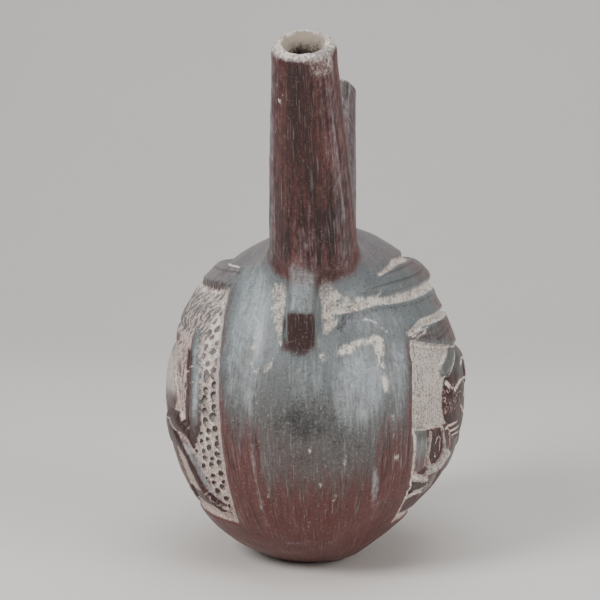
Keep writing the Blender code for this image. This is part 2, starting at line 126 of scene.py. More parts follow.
def ripple(points: Array, length: float, seed: float) -> Array:
    """A soft, uneven wave through space.

    Args:
        points: Places in metres.
        length: Rough length of the wave in metres.
        seed: Chooses the wave.

    Returns:
        A value from about -1 to 1 at each place.
    """
    wave = np.zeros(len(points))
    for turn in range(5):
        angle = seed + turn * 2.399
        way = np.array((math.cos(angle), math.sin(angle), math.cos(angle * 1.7 + seed)))
        wave += np.sin(points @ way * (math.tau / length) * (0.7 + 0.23 * turn) + seed * (turn + 1.0))
    return wave / 3.0


@dataclass(frozen=True)
class View:
    """Places seen from one side, in mm. Each distance drawn in it is negative inside the shape."""

    across: Array
    up: Array

    def folded(self) -> "View":
        """The view with one half folded onto the other."""
        return View(np.abs(self.across), self.up)

    def line(self, points: tuple, *radii: float) -> Array:
        """Distance to a line.

        Args:
            points: The points that it runs through.
            radii: Its half width at each point, or one for all of them.

        Returns:
            The distance of each place.
        """
        radii = radii * len(points) if len(radii) == 1 else radii
        nearest = np.full(self.up.shape, np.inf)
        for start, end, first, last in zip(points[:-1], points[1:], radii[:-1], radii[1:]):
            run = (end[0] - start[0], end[1] - start[1])
            share = (self.across - start[0]) * run[0] + (self.up - start[1]) * run[1]
            share = np.clip(share / (run[0] ** 2 + run[1] ** 2), 0.0, 1.0)
            reach = np.hypot(self.across - start[0] - share * run[0], self.up - start[1] - share * run[1])
            nearest = np.minimum(nearest, reach - first - share * (last - first))
        return nearest

    def lines(self, *drawn: tuple) -> Array:
        """Distance to the nearest of some lines, each given as its points and a tuple of half widths."""
        return np.minimum.reduce([self.line(points, *radii) for points, radii in drawn])

    def oval(self, centre: tuple, half: tuple, turn: float = 0.0) -> Array:
        """Distance to an oval.

        Args:
            centre: The oval's middle.
            half: Its two half sizes.
            turn: Degrees that its first half size is turned from level towards up.

        Returns:
            The distance of each place.
        """
        angle = math.radians(turn)
        level, rise = self.across - centre[0], self.up - centre[1]
        long_way = (level * math.cos(angle) + rise * math.sin(angle)) / half[0]
        short_way = (rise * math.cos(angle) - level * math.sin(angle)) / half[1]
        return (np.hypot(long_way, short_way) - 1.0) * min(half)

    def cells(self, pitch: tuple, half: tuple, stray: float, seed: float) -> Array:
        """Distance to the nearest of many small ovals set in staggered columns.

        Args:
            pitch: Spacing across and along the columns.
            half: Half size of an oval across and along.
            stray: How far an oval strays from its place, as a share of the spacing.
            seed: Chooses how they stray.

        Returns:
            The distance of each place.
        """
        nearest = np.full(self.up.shape, 9.0)
        for beside in (-1.0, 0.0, 1.0):
            column = np.floor(self.across / pitch[0]) + beside
            stagger = 0.5 * np.mod(column, 2.0)
            for above in (-1.0, 0.0, 1.0):
                row = np.floor(self.up / pitch[1] - stagger) + above
                level = self.across - (column + 0.5 + stray * chance(column, row, seed)) * pitch[0]
                rise = self.up - (row + 0.5 + stagger + stray * chance(column, row, seed + 1.0)) * pitch[1]
                size = 1.0 + 0.22 * chance(column, row, seed + 2.0)
                reach = (np.hypot(level / half[0], rise / half[1]) - size) * min(half)
                nearest = np.minimum(nearest, reach)
        return nearest


# ---------------------------------------------------------------- coat

def dark(stain: float, **other: float) -> dict[str, float]:
    """Finish of painted shade: a dark, dustless place."""
    return {"dust": 0.0, "cream": 0.0, "gloss": 0.0, "stain": stain, "warm": 1.0, **other}


def pale(cream: float, **other: float) -> dict[str, float]:
    """Finish of a place full of pale dust and crust."""
    return {"dust": 1.0, "cream": cream, "stain": 0.0, **other}


@dataclass
class Coat:
    """What lies on the outside, one value for each point: its height in mm and the shares of its finish."""

    height: Array
    across: Array
    finish: dict[str, Array]
    cover: dict[str, Array]

    @classmethod
    def bare(cls, count: int, cover: float = 0.0) -> "Coat":
        """A coat with nothing on it, which hides what lies under it where cover is 1."""
        finish = {trait.value: np.zeros(count) for trait in FINISHES}
        return cls(np.zeros(count), np.zeros(count), finish, {name: np.full(count, cover) for name in finish})

    def lay(self, share: Array, **amounts: float) -> None:
        """Bring finishes towards new amounts.

        Args:
            share: How much of the new amounts counts at each point.
            amounts: New amount of each named finish.
        """
        for name, amount in amounts.items():
            self.finish[name] = self.finish[name] + (amount - self.finish[name]) * share
            self.cover[name] = self.cover[name] + (1.0 - self.cover[name]) * share

    def rule(self, share: Array, across: Array) -> None:
        """Draw fine lines, a millimetre apart at each whole step of across.

        Args:
            share: Strength of the lines at each point.
            across: Distance across the lines.
        """
        self.across = np.where(share > 0.02, across, self.across)
        self.finish["lines"] = np.maximum(self.finish["lines"], share)
        self.cover["lines"] = np.maximum(self.cover["lines"], share)

    def fade(self, share: Array) -> None:
        """Keep the finish only where the share is 1."""
        self.finish = {name: amount * share for name, amount in self.finish.items()}
        self.cover = {name: amount * share for name, amount in self.cover.items()}

    def mix(self, other: "Coat", share: Array) -> None:
        """Lay another coat on this one, where its share is 1.

        Args:
            other: The other coat.
            share: How much of the other coat counts at each point.
        """
        self.height = self.height * (1.0 - share * other.cover["dust"]) + other.height * share
        self.across = np.where(share * other.cover["lines"] > 0.02, other.across, self.across)
        for name, amount in other.finish.items():
            self.finish[name] = self.finish[name] * (1.0 - share * other.cover[name]) + amount * share


# ---------------------------------------------------------------- form

@dataclass(frozen=True)
class Body:
    """The round body: an ellipsoid, a little fuller below its middle and drawn in low on the +X side."""

    half: tuple[float, float, float] = (59.5 * MM, 64.0 * MM, 67.5 * MM)
    centre: float = 64.5 * MM
    fullness: float = 2.04
    sway: float = -1.4 * MM
    sway_height: float = 12.0 * MM
    sway_reach: float = 16.0 * MM
    tuck: float = 4.9 * MM
    tuck_sides: tuple[float, float] = (8.0 * MM, 26.0 * MM)
    tuck_heights: tuple[float, float] = (42.0 * MM, 11.0 * MM)
    wall: float = 5.0 * MM

    def drawn_in(self, points: Array) -> Array:
        """How far the low wall towards +X is drawn in.

        Args:
            points: Places in metres.

        Returns:
            How far it is drawn in at each place, in metres.
        """
        inner, outer = self.tuck_sides
        top, foot = self.tuck_heights
        return (self.tuck * eased((points[:, 0] - inner) / (outer - inner))
                * eased((top - points[:, 2]) / (top - foot)))

    def distance(self, points: Array) -> Array:
        """Distance to the plain body.

        Args:
            points: Places in metres.

        Returns:
            Distance of each place, negative inside.
        """
        height = points[:, 2] - self.centre
        sway = self.sway * np.exp(-((points[:, 2] - self.sway_height) / self.sway_reach) ** 2)
        across = points[:, 0] - sway + self.drawn_in(points)
        ring = np.hypot(across / self.half[0], points[:, 1] / self.half[1])
        power = np.where(height < 0.0, self.fullness, 2.0)
        size = (ring ** power + (np.abs(height) / self.half[2]) ** power) ** (1.0 / power)
        return (size - 1.0) * float(np.mean(self.half))

    def add_ball(self, bm: bmesh.types.BMesh, inset: float, columns: int) -> None:
        """Add the body's ball to a bmesh.

        Args:
            bm: The mesh that gets it.
            inset: How far inside the outer form it lies.
            columns: Its number of columns.
        """
        half = [size - inset for size in self.half]
        place = Matrix.Translation((0.0, 0.0, self.centre)) @ Matrix.Diagonal((*half, 1.0))
        bmesh.ops.create_uvsphere(bm, u_segments=columns, v_segments=columns // 2, radius=1.0, matrix=place)


@dataclass(frozen=True)
class Spout:
    """One leaning spout: a tapering round bar with a rounded lip and a bore that narrows at the mouth."""

    foot: tuple[float, float, float]
    rim: tuple[float, float, float]
    bevel: float
    slimness: float
    stations: tuple = (-0.25, 0.0, 0.24, 0.53, 0.76, 0.90, 1.0)
    radii: tuple = (17.6 * MM, 16.5 * MM, 15.4 * MM, 13.8 * MM, 12.2 * MM, 11.3 * MM, 10.9 * MM)
    lip: float = 3.2 * MM
    mouth: tuple = ((12.8, 8), (8.9, 1.7), (7.9, 0.5), (7.3, -0.3), (6.6, -1.1), (6, -2.3), (5.4, -3.9),
                    (5, -5.3), (4.8, -6.9), (4.9, -9), (5.6, -15.6))
    bore_middle: float = 8.4 * MM
    bore_foot: float = 11.0 * MM
    bore_end: float = 13.0 * MM
    overrun: float = 16.0 * MM

    @property
    def length(self) -> float:
        """Length from foot to rim."""
        return (Vector(self.rim) - Vector(self.foot)).length

    @property
    def way(self) -> Array:
        """Direction from foot to rim."""
        return (np.array(self.rim) - np.array(self.foot)) / self.length

    def aimed(self) -> Matrix:
        """Matrix that puts local Z along the spout, from its foot."""
        turn = Vector(self.way).to_track_quat("Z", "Y").to_matrix().to_4x4()
        return Matrix.Translation(self.foot) @ turn

    def measured(self, points: Array) -> tuple[Array, Array]:
        """How far along the spout each place lies from its foot, and which way out from its axis."""
        along = (points - np.array(self.foot)) @ self.way
        return along, points - np.array(self.foot) - along[:, None] * self.way

    def distance(self, points: Array) -> Array:
        """Distance to the spout.

        Args:
            points: Places in metres.

        Returns:
            Distance of each place, negative inside.
        """
        along, out = self.measured(points)
        radius = np.interp(along / self.length, self.stations, np.array(self.radii) * self.slimness)
        lean = math.atan2(self.way[1], self.way[2]) + math.copysign(self.bevel, self.rim[1])
        face = np.array((0.0, math.sin(lean), math.cos(lean)))
        capped = shared(np.linalg.norm(out, axis=1) - radius, (points - np.array(self.rim)) @ face, self.lip)
        return np.maximum(capped, self.stations[0] * self.length - along)

    def add_bar(self, bm: bmesh.types.BMesh) -> None:
        """Add the spout's tapering bar to a bmesh.

        Args:
            bm: The mesh that gets it.
        """
        buried = -self.stations[0] * self.length
        place = self.aimed() @ Matrix.Translation((0.0, 0.0, (self.length - buried) / 2.0))
        bmesh.ops.create_cone(bm, cap_ends=True, segments=48, radius1=self.radii[1],
                              radius2=self.radii[-1], depth=self.length + buried, matrix=place)

    def bore(self, sides: int) -> bmesh.types.BMesh:
        """The channel from above the rim into the body.

        Args:
            sides: Number of sides of the channel.

        Returns:
            A closed turned mesh.
        """
        profile = [(0.0, self.length + self.mouth[0][1] * MM)]
        profile += [(radius * MM, self.length + height * MM) for radius, height in self.mouth]
        profile += [(self.bore_middle, self.length * 0.5), (self.bore_foot, 0.0),
                    (self.bore_end, -self.overrun), (0.0, -self.overrun)]
        bm = bmesh.new()
        verts = [bm.verts.new((radius, 0.0, height)) for radius, height in profile]
        edges = [bm.edges.new(pair) for pair in zip(verts[:-1], verts[1:])]
        bmesh.ops.spin(bm, geom=verts + edges, cent=(0.0, 0.0, 0.0), axis=(0.0, 0.0, 1.0),
                       angle=math.tau, steps=sides, use_merge=True)
        bmesh.ops.remove_doubles(bm, verts=bm.verts, dist=0.01 * MM)
        bmesh.ops.recalc_face_normals(bm, faces=bm.faces)
        bmesh.ops.transform(bm, matrix=self.aimed(), verts=bm.verts)
        return bm


@dataclass(frozen=True)
class Strap:
    """The flat strap that bridges the spouts, a little arched."""

    side: float = 1.4 * MM
    end: float = 148.0 * MM
    rise: float = 5.0 * MM
    half_width: float = 8.5 * MM
    half_thickness: float = 3.6 * MM
    reach: float = 47.0 * MM
    blend: float = 5.0 * MM

    def distance(self, points: Array) -> Array:
        """Distance to the strap.

        Args:
            points: Places in metres.

        Returns:
            Distance of each place, negative inside.
        """
        middle = self.end + self.rise * (1.0 - (points[:, 1] / self.reach) ** 2)
        across = np.abs(points[:, 0] - self.side) - self.half_width
        upward = np.abs(points[:, 2] - middle) - self.half_thickness
        return np.maximum(shared(across, upward, self.half_thickness), np.abs(points[:, 1]) - self.reach)

    def add_bar(self, bm: bmesh.types.BMesh) -> None:
        """Add the strap's straight bar to a bmesh.

        Args:
            bm: The mesh that gets it.
        """
        size = Matrix.Diagonal((self.half_width * 2.0, self.reach * 2.0, self.half_thickness * 2.0, 1.0))
        place = Matrix.Translation((self.side, 0.0, self.end + self.rise / 2.0))
        bmesh.ops.create_cube(bm, size=1.0, matrix=place @ size)


@dataclass(frozen=True)
class Lugs:
    """A small wedge at each spout's foot, with a steep top face and an undercut nose."""

    side: float = -0.8 * MM
    half_width: float = 4.8 * MM
    nose_reach: float = 64.5 * MM
    nose_height: float = 103.0 * MM
    top_slope: float = math.radians(62.0)
    front_slope: float = math.radians(23.0)
    rounding: float = 2.6 * MM
    root: float = 18.0 * MM
    deep: float = 12.0 * MM
    tall: float = 24.0 * MM

    def distance(self, points: Array) -> Array:
        """Distance to the pair of lugs.

        Args:
            points: Places in metres.

        Returns:
            Distance of each place, negative inside.
        """
        outward = np.abs(points[:, 1]) - self.nose_reach
        upward = points[:, 2] - self.nose_height
        top = outward * math.sin(self.top_slope) + upward * math.cos(self.top_slope)
        front = outward * math.cos(self.front_slope) - upward * math.sin(self.front_slope)
        side = np.abs(points[:, 0] - self.side) - self.half_width
        wedge = shared(shared(top, front, self.rounding), side, self.rounding)
        return np.maximum(wedge, -outward - self.root)

    def add_wedges(self, bm: bmesh.types.BMesh) -> None:
        """Add a three-sided wedge at each spout's foot to a bmesh.

        Args:
            bm: The mesh that gets them.
        """
        for outward in (-1.0, 1.0):
            root = (self.side, outward * (self.nose_reach - self.deep), self.nose_height)
            place = (Matrix.Translation(root) @ Matrix.Diagonal((1.0, outward * self.deep, self.tall, 1.0))
                     @ Matrix.Rotation(math.radians(90.0), 4, "Y"))
            bmesh.ops.create_cone(bm, cap_ends=True, segments=3, radius1=1.0, radius2=1.0,
                                  depth=self.half_width * 2.0, matrix=place)


@dataclass(frozen=True)
class Form:
    """The whole outer form: body, spouts, strap and lugs, joined with soft fillets."""

    body: Body = Body()
    front: Spout = Spout((2.1 * MM, -37.5 * MM, 119.0 * MM), (1.5 * MM, -79.6 * MM, 195.2 * MM),
                         math.radians(6.0), 1.0)
    back: Spout = Spout((-2.0 * MM, 37.5 * MM, 119.0 * MM), (1.5 * MM, 77.2 * MM, 188.2 * MM), 0.0, 0.96)
    strap: Strap = Strap()
    lugs: Lugs = Lugs()
    spout_blend: float = 11.0 * MM
    lug_blend: float = 5.0 * MM
    largest_step: float = 1.2 * MM

    @property
    def spouts(self) -> tuple[Spout, Spout]:
        """The front spout and the back one."""
        return self.front, self.back

    def distance(self, points: Array) -> Array:
        """Distance to the form, without its relief.

        Args:
            points: Places in metres.

        Returns:
            Distance of each place, negative inside.
        """
        spouts = np.minimum(*(spout.distance(points) for spout in self.spouts))
        spouts = blended(spouts, self.strap.distance(points), self.strap.blend)
        bottle = blended(self.body.distance(points), spouts, self.spout_blend)
        return blended(bottle, self.lugs.distance(points), self.lug_blend)

    def slope(self, points: Array) -> Array:
        """The distance's gradient.

        Args:
            points: Places in metres.

        Returns:
            The gradient at each place.
        """
        steps = np.eye(3) * PROBE
        changes = [self.distance(points + step) - self.distance(points - step) for step in steps]
        return np.stack(changes, axis=1) / (2.0 * PROBE)

    def settle(self, points: Array, steps: int = 3) -> tuple[Array, Array]:
        """Move places along the slope onto the form.

        Args:
            points: Places in metres.
            steps: Number of moves.

        Returns:
            The settled places and the outward direction at each.
        """
        for _ in range(steps):
            slope = self.slope(points)
            move = slope * (self.distance(points) / (slope ** 2).sum(axis=1))[:, None]
            size = np.linalg.norm(move, axis=1)[:, None]
            points = points - move * np.minimum(1.0, self.largest_step / np.maximum(size, PROBE))
        slope = self.slope(points)
        return points, slope / np.linalg.norm(slope, axis=1)[:, None]


# ---------------------------------------------------------------- relief parts

@dataclass(frozen=True)
class Part:
    """One part of a pressed figure: how it stands over the ground, in mm, and its finish."""

    name: str
    rise: float
    shoulder: float
    dust: float
    gloss: float
    stain: float


@dataclass(frozen=True)
class Limb(Part):
    """A part drawn as a line through points."""

    points: tuple
    radii: tuple

    def distance(self, view: View) -> Array:
        """Distance to the limb, negative inside it."""
        return view.line(self.points, *self.radii)


@dataclass(frozen=True)
class Pad(Part):
    """A part drawn as an oval."""

    centre: tuple
    half: tuple
    turn: float = 0.0

    def distance(self, view: View) -> Array:
        """Distance to the pad, negative inside it."""
        return view.oval(self.centre, self.half, self.turn)


@dataclass(frozen=True)
class Panel:
    """A sunken panel: half sizes, middle, top, foot and depth of the ground, all in mm."""

    half_width: float
    half_height: float
    middle: float
    top: float
    top_curve: float
    foot: float
    ground: float
    curve: float = 2.0
    step: float = 1.9

    def sides(self, view: View) -> Array:
        """Distance to the curved sides of the outline, negative inside."""
        size = ((np.abs(view.across) / self.half_width) ** self.curve
                + (np.abs(view.up - self.middle) / self.half_height) ** self.curve) ** (1.0 / self.curve)
        return (size - 1.0) * self.half_width

    def distance(self, view: View) -> Array:
        """Distance to the whole outline, negative inside."""
        top = self.top + self.top_curve * view.across ** 2
        return np.maximum.reduce((self.sides(view), view.up - top, self.foot - view.up))

    def press(self, coat: Coat, parts: tuple, view: View) -> Array:
        """Stand figures on the ground, each with its finish and a dusty seam round it.

        Args:
            coat: The coat that the figures change.
            parts: The figures' parts, far ones first.
            view: The places, seen from the panel's side.

        Returns:
            How far each point is covered by a figure.
        """
        cover = np.zeros(len(view.up))
        coat.height = cover + self.ground
        for part in parts:
            distance = part.distance(view)
            top = self.ground + part.rise * swell(distance, part.shoulder)
            shows = within(distance, 0.5) * (top >= coat.height - 0.05)
            coat.lay(band(distance, 0.4, 0.3, 0.5) * 0.8, gloss=0.0, **pale(0.3))
            coat.lay(shows, dust=part.dust, cream=0.0, gloss=part.gloss, stain=part.stain)
            coat.height = np.maximum(coat.height, top)
            cover = np.maximum(cover, within(distance, 0.8))
        return cover

    def frame(self, coat: Coat, view: View, rim: float) -> None:
        """Sink the ground inside the outline, with a pale line in its corner and a ruled strip outside.

        Args:
            coat: The coat of the panel's inside.
            view: The places, seen from the panel's side.
            rim: How much crust the corner's line holds.
        """
        distance = self.distance(view)
        coat.lay(band(distance, -0.8, 0.35, 0.6) * 0.9, **pale(rim))
        coat.fade(within(distance - 0.2, 0.7))
        coat.height = coat.height * within(distance, self.step)
        low = eased(0.45 - view.up / 40.0)
        wall = band(distance, 4.0, 5.0, 3.0) * (distance > -0.2) * low
        coat.lay(wall * 0.75, warm=1.0, stain=0.12, haze=0.05)
        coat.lay(band(distance, 1.3, 0.7, 0.8) * 0.6, warm=0.9, stain=0.2, haze=0.1)
        # Dark lines just outside the edge: the rim's dark groove lines, with painted shadow of the step along
        # them.
        for gap, amount in ((0.6, 0.7), (2.4, 0.85), (3.3, 0.3)):
            line = band(distance, gap, 0.1, 0.55)
            coat.lay(line * amount * (0.4 + 0.6 * low), stain=1.0, haze=0.0, warm=0.6)
        coat.rule(wall * 0.75, distance * 1.25 + 0.2)


class Side:
    """What both relief sides share."""

    parts: tuple[Part, ...]

    def on(self, name: str, view: View) -> Array:
        """Distance to the figure's part that has this name, negative inside it."""
        return next(part for part in self.parts if part.name == name).distance(view)


@dataclass(frozen=True)
class LeftSide(Side):
    """The side towards -X: a crested animal with its tail raised, on a ground of pellets, under a plate."""

    panel: Panel = Panel(54.2, 62.7, -2.8, 44.8, 0.0, -43.8, -1.9)
    edge: float = -16.0
    parts: tuple = (
        Pad("mane", 1.6, 3.0, 0.75, 0.1, 0.1, (0, 36.5), (38, 8.5)),
        Pad("torso", 1.9, 8.0, 0.3, 0.5, 0.35, (-1, 5), (31, 15.5), -3.0),
        Limb("haunch", 2.6, 5.0, 0.0, 0.3, 0.8, ((22, -10), (33, -7), (38.5, -9.5)), (6.4, 4, 2.6)),
        Limb("near_hind_leg", 2.7, 2.6, 0.0, 0.3, 0.85,
             ((25, -12.5), (33, -15), (37, -19), (37.4, -25), (37.2, -31), (38.6, -36), (40.4, -39)),
             (5.4, 3.2, 2.7, 2.5, 2.4, 2.2, 1.4)),
        Limb("far_hind_leg", 1.7, 6.0, 0.3, 0.55, 0.4, ((9, -12), (13, -26), (11.5, -40)), (9, 6.8, 5)),
        Limb("tail", 2.0, 2.8, 0.1, 0.55, 0.3,
             ((35.8, 27), (40.8, 18.5), (43.6, 10), (44.6, 3), (44.2, -5), (41.6, -12.5)),
             (2.2, 2.9, 2.9, 2.8, 2.6, 1.2)),
        Limb("claw_pad", 1.5, 1.8, 0.55, 0.2, 0.3, ((37.8, -34.5), (40.6, -39)), (3.2, 1.8)),
        Limb("neck", 2.8, 6.0, 0.25, 0.5, 0.35, ((-20, 8), (-31, 15)), (9, 7.5)),
        Limb("head", 3.6, 5.0, 0.2, 0.55, 0.35, ((-31, 14), (-41, 9)), (9, 4.6)),
        Limb("ear", 3.6, 2.4, 0.2, 0.5, 0.3, ((-29, 21), (-30, 28)), (3.4, 1.6)),
        Limb("crest", 1.4, 3.4, 0.3, 0.45, 0.35, ((-26, 20), (-16, 25.5), (-4, 25.8), (8, 25.8), (24, 21)),
             (2.4, 3.4, 3.6, 3.4, 0.8)),
        Limb("near_fore_leg", 3.2, 4.0, 0.15, 0.6, 0.4, ((-18, -6), (-21, -24), (-22, -40)), (7.5, 5.2, 4.4)),
        Limb("raised_paw", 2.8, 3.4, 0.15, 0.6, 0.4, ((-29, -4), (-38, -14), (-43, -9)), (6, 4.4, 3.6)),
    )
    claws: tuple = (((35.5, -35), (34.8, -39.5), (36, -42)), ((38.4, -34.1), (37.6, -38.2), (38.8, -40.4)),
                    ((39.6, -33.5), (40.8, -35.8), (41.8, -37.7)),
                    ((-24.6, -35.6), (-19.6, -36.2)), ((-24.8, -38.2), (-19.4, -38.8)),
                    ((9, -36), (14.6, -36.4)), ((8.6, -38.6), (14.2, -39)))
    tail_nicks: tuple = (((35.6, 12.6), (42.8, 16.4)), ((37.2, 6.8), (44.2, 10.4)))
    ridge: tuple = (((26, -7.2), (32, -10.6), (37, -14), (39.4, -18), (39.9, -24), (39.6, -31), (41, -35.4)),
                    (0.4, 0.6, 0.6, 0.5, 0.4, 0.3, 0.2))
    thigh: tuple = (((30, -13), (35.4, -16.6), (37.2, -20.5), (37.4, -26), (37.6, -31), (39, -34)),
                    (2.6, 2, 1.7, 1.5, 1.4, 1))
    behind: tuple = ((((20, -13), (29, -17), (33, -23), (34, -30), (35.4, -35.5)), (4.4, 3.6, 3, 2.6, 1.4)),
                     (((10, -12), (27, -15.5)), (5.5, 5)), (((14, -38), (33, -38)), (2.4,)))
    tail_root: tuple = (((40.5, -7.5), (39.8, -12.5), (39.2, -15.6)), (3, 2.2, 1.2))
    shine: tuple = (((36.2, -14.6), (39.2, -18.4), (39.8, -23), (39.7, -30), (40.4, -33.4)),
                    (0.4, 0.6, 0.6, 0.5, 0.3))

    def tail_middle(self, up: Array) -> Array:
        """Place of the tail's middle at each height, towards the front spout."""
        return np.interp(up, (-12.5, -5, 3, 10, 18.5, 27), (42.4, 45.2, 45.8, 44.8, 42, 37.2))

    def add_pellets(self, coat: Coat, cover: Array, view: View) -> None:
        """Pellets on the bare ground, larger above and closer together below.

        Args:
            coat: The coat that gets them.
            cover: How far a figure covers each point.
            view: The places, seen from this side.
        """
        up = view.up
        inset = -self.panel.sides(view)
        rows = up + 0.35 * np.sin(up * 0.7)
        room = (1.0 - cover) * within(1.2 - inset, 0.6) * within(up - 14.0, 2.5)
        limit = np.where(up > -13.0, self.tail_middle(up) + 1.5, 40.6)
        room = room * np.clip(within(limit - view.across, 1.6) + (view.across < 0.0), 0.0, 1.0)
        high = eased((up + 12.0) / 8.0)
        pellet, lit = (
            high * View(inset - slip - 0.65, rows - slip).cells((3.1, 4.1), (0.95, 1.4), 0.14, 3.0)
            + (1.0 - high) * View(inset - slip - 0.5, rows - slip).cells((3.0, 3.6), (0.75, 0.9), 0.26, 8.0)
            for slip in (0.0, -0.55))
        coat.height += (0.8 * swell(pellet, 0.9) - 0.3 * band(pellet, 0.5, 0.15, 0.5)) * room
        coat.lay(room * eased((-16.0 - up) / 12.0) * 0.6, warm=1.0)
        coat.lay(band(pellet, 0.7, 0.3, 0.5) * room, dust=1.0, cream=0.55, warm=0.3)
        coat.lay(within(pellet + 0.1, 0.4) * room, dust=0.42, cream=0.0, gloss=0.3, stain=0.15, warm=0.1)
        # Painted light on each pellet: a dark crescent of painted shadow on one side, and a grey painted
        # highlight on its lit side.
        shaded = within(pellet - 0.25, 0.4) * (1.0 - within(lit + 0.2, 0.6))
        coat.lay(shaded * room, dust=0.0, cream=0.0, gloss=0.0, stain=0.95)
        grey = within(pellet + 0.5, 0.5) * within(lit + 0.5, 0.5)
        coat.lay(grey * room, dust=0.3, cream=0.0, haze=0.4, stain=0.0)

    def add_hatching(self, coat: Coat, view: View) -> None:
        """Slanting strands under the plate, a net of small cells below them, and dashes beside the tail.

        Args:
            coat: The coat that gets them.
            view: The places, seen from this side.
        """
        across, up, reach = view.across, view.up, np.abs(view.across)
        slant = View(0.93 * reach - 0.37 * up + 0.3 * np.sin(up * 0.6), 0.93 * up + 0.37 * reach)
        strands = slant.cells((1.5, 4.6), (0.42, 2.1), 0.22, 5.0)
        net = within(40.8 - 0.3 * (up - 26.0) - reach, 2.0) * within(13.4 - up, 2.5)
        above = within(26.0 - up, 4.0) * (1.0 - net)
        coat.lay(above, dust=0.95, cream=0.3, gloss=0.0, stain=0.0, warm=0.35)
        coat.lay(within(strands, 0.5) * above, dust=0.0, cream=0.0, haze=0.2, warm=0.5, gloss=0.3, stain=0.3)
        coat.height += 0.5 * swell(strands, 0.5) * above
        cells = view.cells((3.0, 3.6), (1.2, 1.5), 0.2, 14.0)
        coat.lay(net * within(-cells - 0.1, 0.5), dust=1.0, cream=0.6, warm=0.1)
        coat.lay(net * within(cells + 0.05, 0.4), dust=0.25, cream=0.0, gloss=0.5, stain=0.1, haze=0.3)
        rings = band(cells, -0.25, 0.1, 0.35) * eased(0.5 + np.sin(across * 2.1 + up) * 0.4)
        coat.lay(net * rings, dust=0.0, cream=0.0, stain=0.8, warm=0.4)
        coat.height += 0.3 * net * band(cells, 0.0, 0.3, 0.6)
        back = np.interp(up, (-7, -3.6, 0, 5, 9, 15, 20), (37.4, 34.6, 31, 29.3, 27, 23.6, 21))
        lens = within(back - across, 1.0) * within(across + 7.7 - self.tail_middle(up), 1.0)
        lens = lens * band(up, 8.5, 15.5, 2.0)
        wavy = View(across + 0.45 * up + 0.5 * np.sin(up * 0.55) + 0.3 * np.sin(up * 1.3), up)
        dashes = wavy.cells((1.5, 5.4), (0.36, 2.2), 0.3, 11.0)
        coat.lay(lens, dust=0.95, cream=0.3, gloss=0.0, stain=0.0, warm=0.6)
        coat.lay(within(dashes, 0.5) * lens, dust=0.0, cream=0.0, warm=1.0, stain=0.8)
        coat.height -= 0.35 * within(dashes, 0.7) * lens
        spine = band(across - back, 0.6, 0.4, 0.7) * band(up, 3.0, 9.0, 4.0)
        coat.lay(spine, **pale(0.75))
        # The flank beside the dashes: a painted highlight on its upper part, darker and reddish lower down.
        flank = within(self.on("torso", view), 3.0) * within(across - back, 1.0)
        upper = flank * within(2.0 - up, 10.0) * within(up - 19.0, 8.0)
        coat.lay(upper, dust=0.55, haze=0.7, stain=0.0, warm=0.4)
        coat.lay(flank * within(up - 1.0, 8.0) * 0.9, dust=0.05, cream=0.0, stain=0.6, warm=1.0, haze=0.0)

    def add_tail(self, coat: Coat, view: View) -> None:
        """Painted shade on the flank behind the raised tail, a painted grey highlight along the tail's crest,
        and its pale root and nicks.

        Args:
            coat: The coat that gets them.
            view: The places, seen from this side.
        """
        up = view.up
        off = view.across - self.tail_middle(up)
        tail = within(self.on("tail", view), 0.8)
        streaks = 0.5 * np.sin(up * 2.1 + np.sin(up * 0.7)) + 0.3 * np.sin(up * 5.3)
        # Painted shade on the tail's flank that faces away from the light, with faint streaks of painted
        # sheen.
        flank = band(off, -4.6, 3.1, 1.0) * band(up, 3.0, 18.5, 3.0)
        coat.lay(flank, **dark(0.9, haze=0.0))
        coat.lay(flank * band(up, 9.0, 8.0, 6.0) * (0.3 + 0.3 * streaks), haze=0.35, stain=0.3)
        coat.lay(tail * within(-off - 1.6, 1.0), dust=0.12, cream=0.0, gloss=0.3, stain=0.2, warm=0.3)
        # A painted grey highlight along the tail's crest.
        crest = band(off, 0.1, 1.0, 1.5) * band(up, 7.5, 16.0, 7.0)
        coat.lay(crest, dust=0.1, haze=0.62 + 0.12 * streaks, stain=0.0, warm=0.0, cream=0.0)
        root = tail * within(1.5 - off + 0.4 * streaks, 1.2) * within(-12.0 - up, 6.0)
        coat.lay(root * 0.9, dust=0.9, cream=0.45)
        coat.lay(tail * within(up + 2.0, 12.0) * 0.75, haze=0.1, stain=0.6, warm=0.8, dust=0.1)
        for points in self.tail_nicks:
            nick = view.line(points, 0.25, 0.1)
            coat.lay(within(nick, 0.35), **pale(0.8))
            coat.height -= 0.4 * within(nick, 0.8)

    def add_carving(self, coat: Coat, view: View) -> None:
        """The hind leg's painted shade and its pale ridge with a painted highlight, the claws, and the head's
        eye and mouth.

        Args:
            coat: The coat that gets them.
            view: The places, seen from this side.
        """
        # Painted shade on the thigh, behind the hind leg and round the tail's root.
        for drawn, edge, stain in (((self.thigh,), 1.0, 0.9), (self.behind, 1.0, 0.85),
                                   ((self.tail_root,), 1.2, 0.85)):
            coat.lay(within(view.lines(*drawn), edge), **dark(stain))
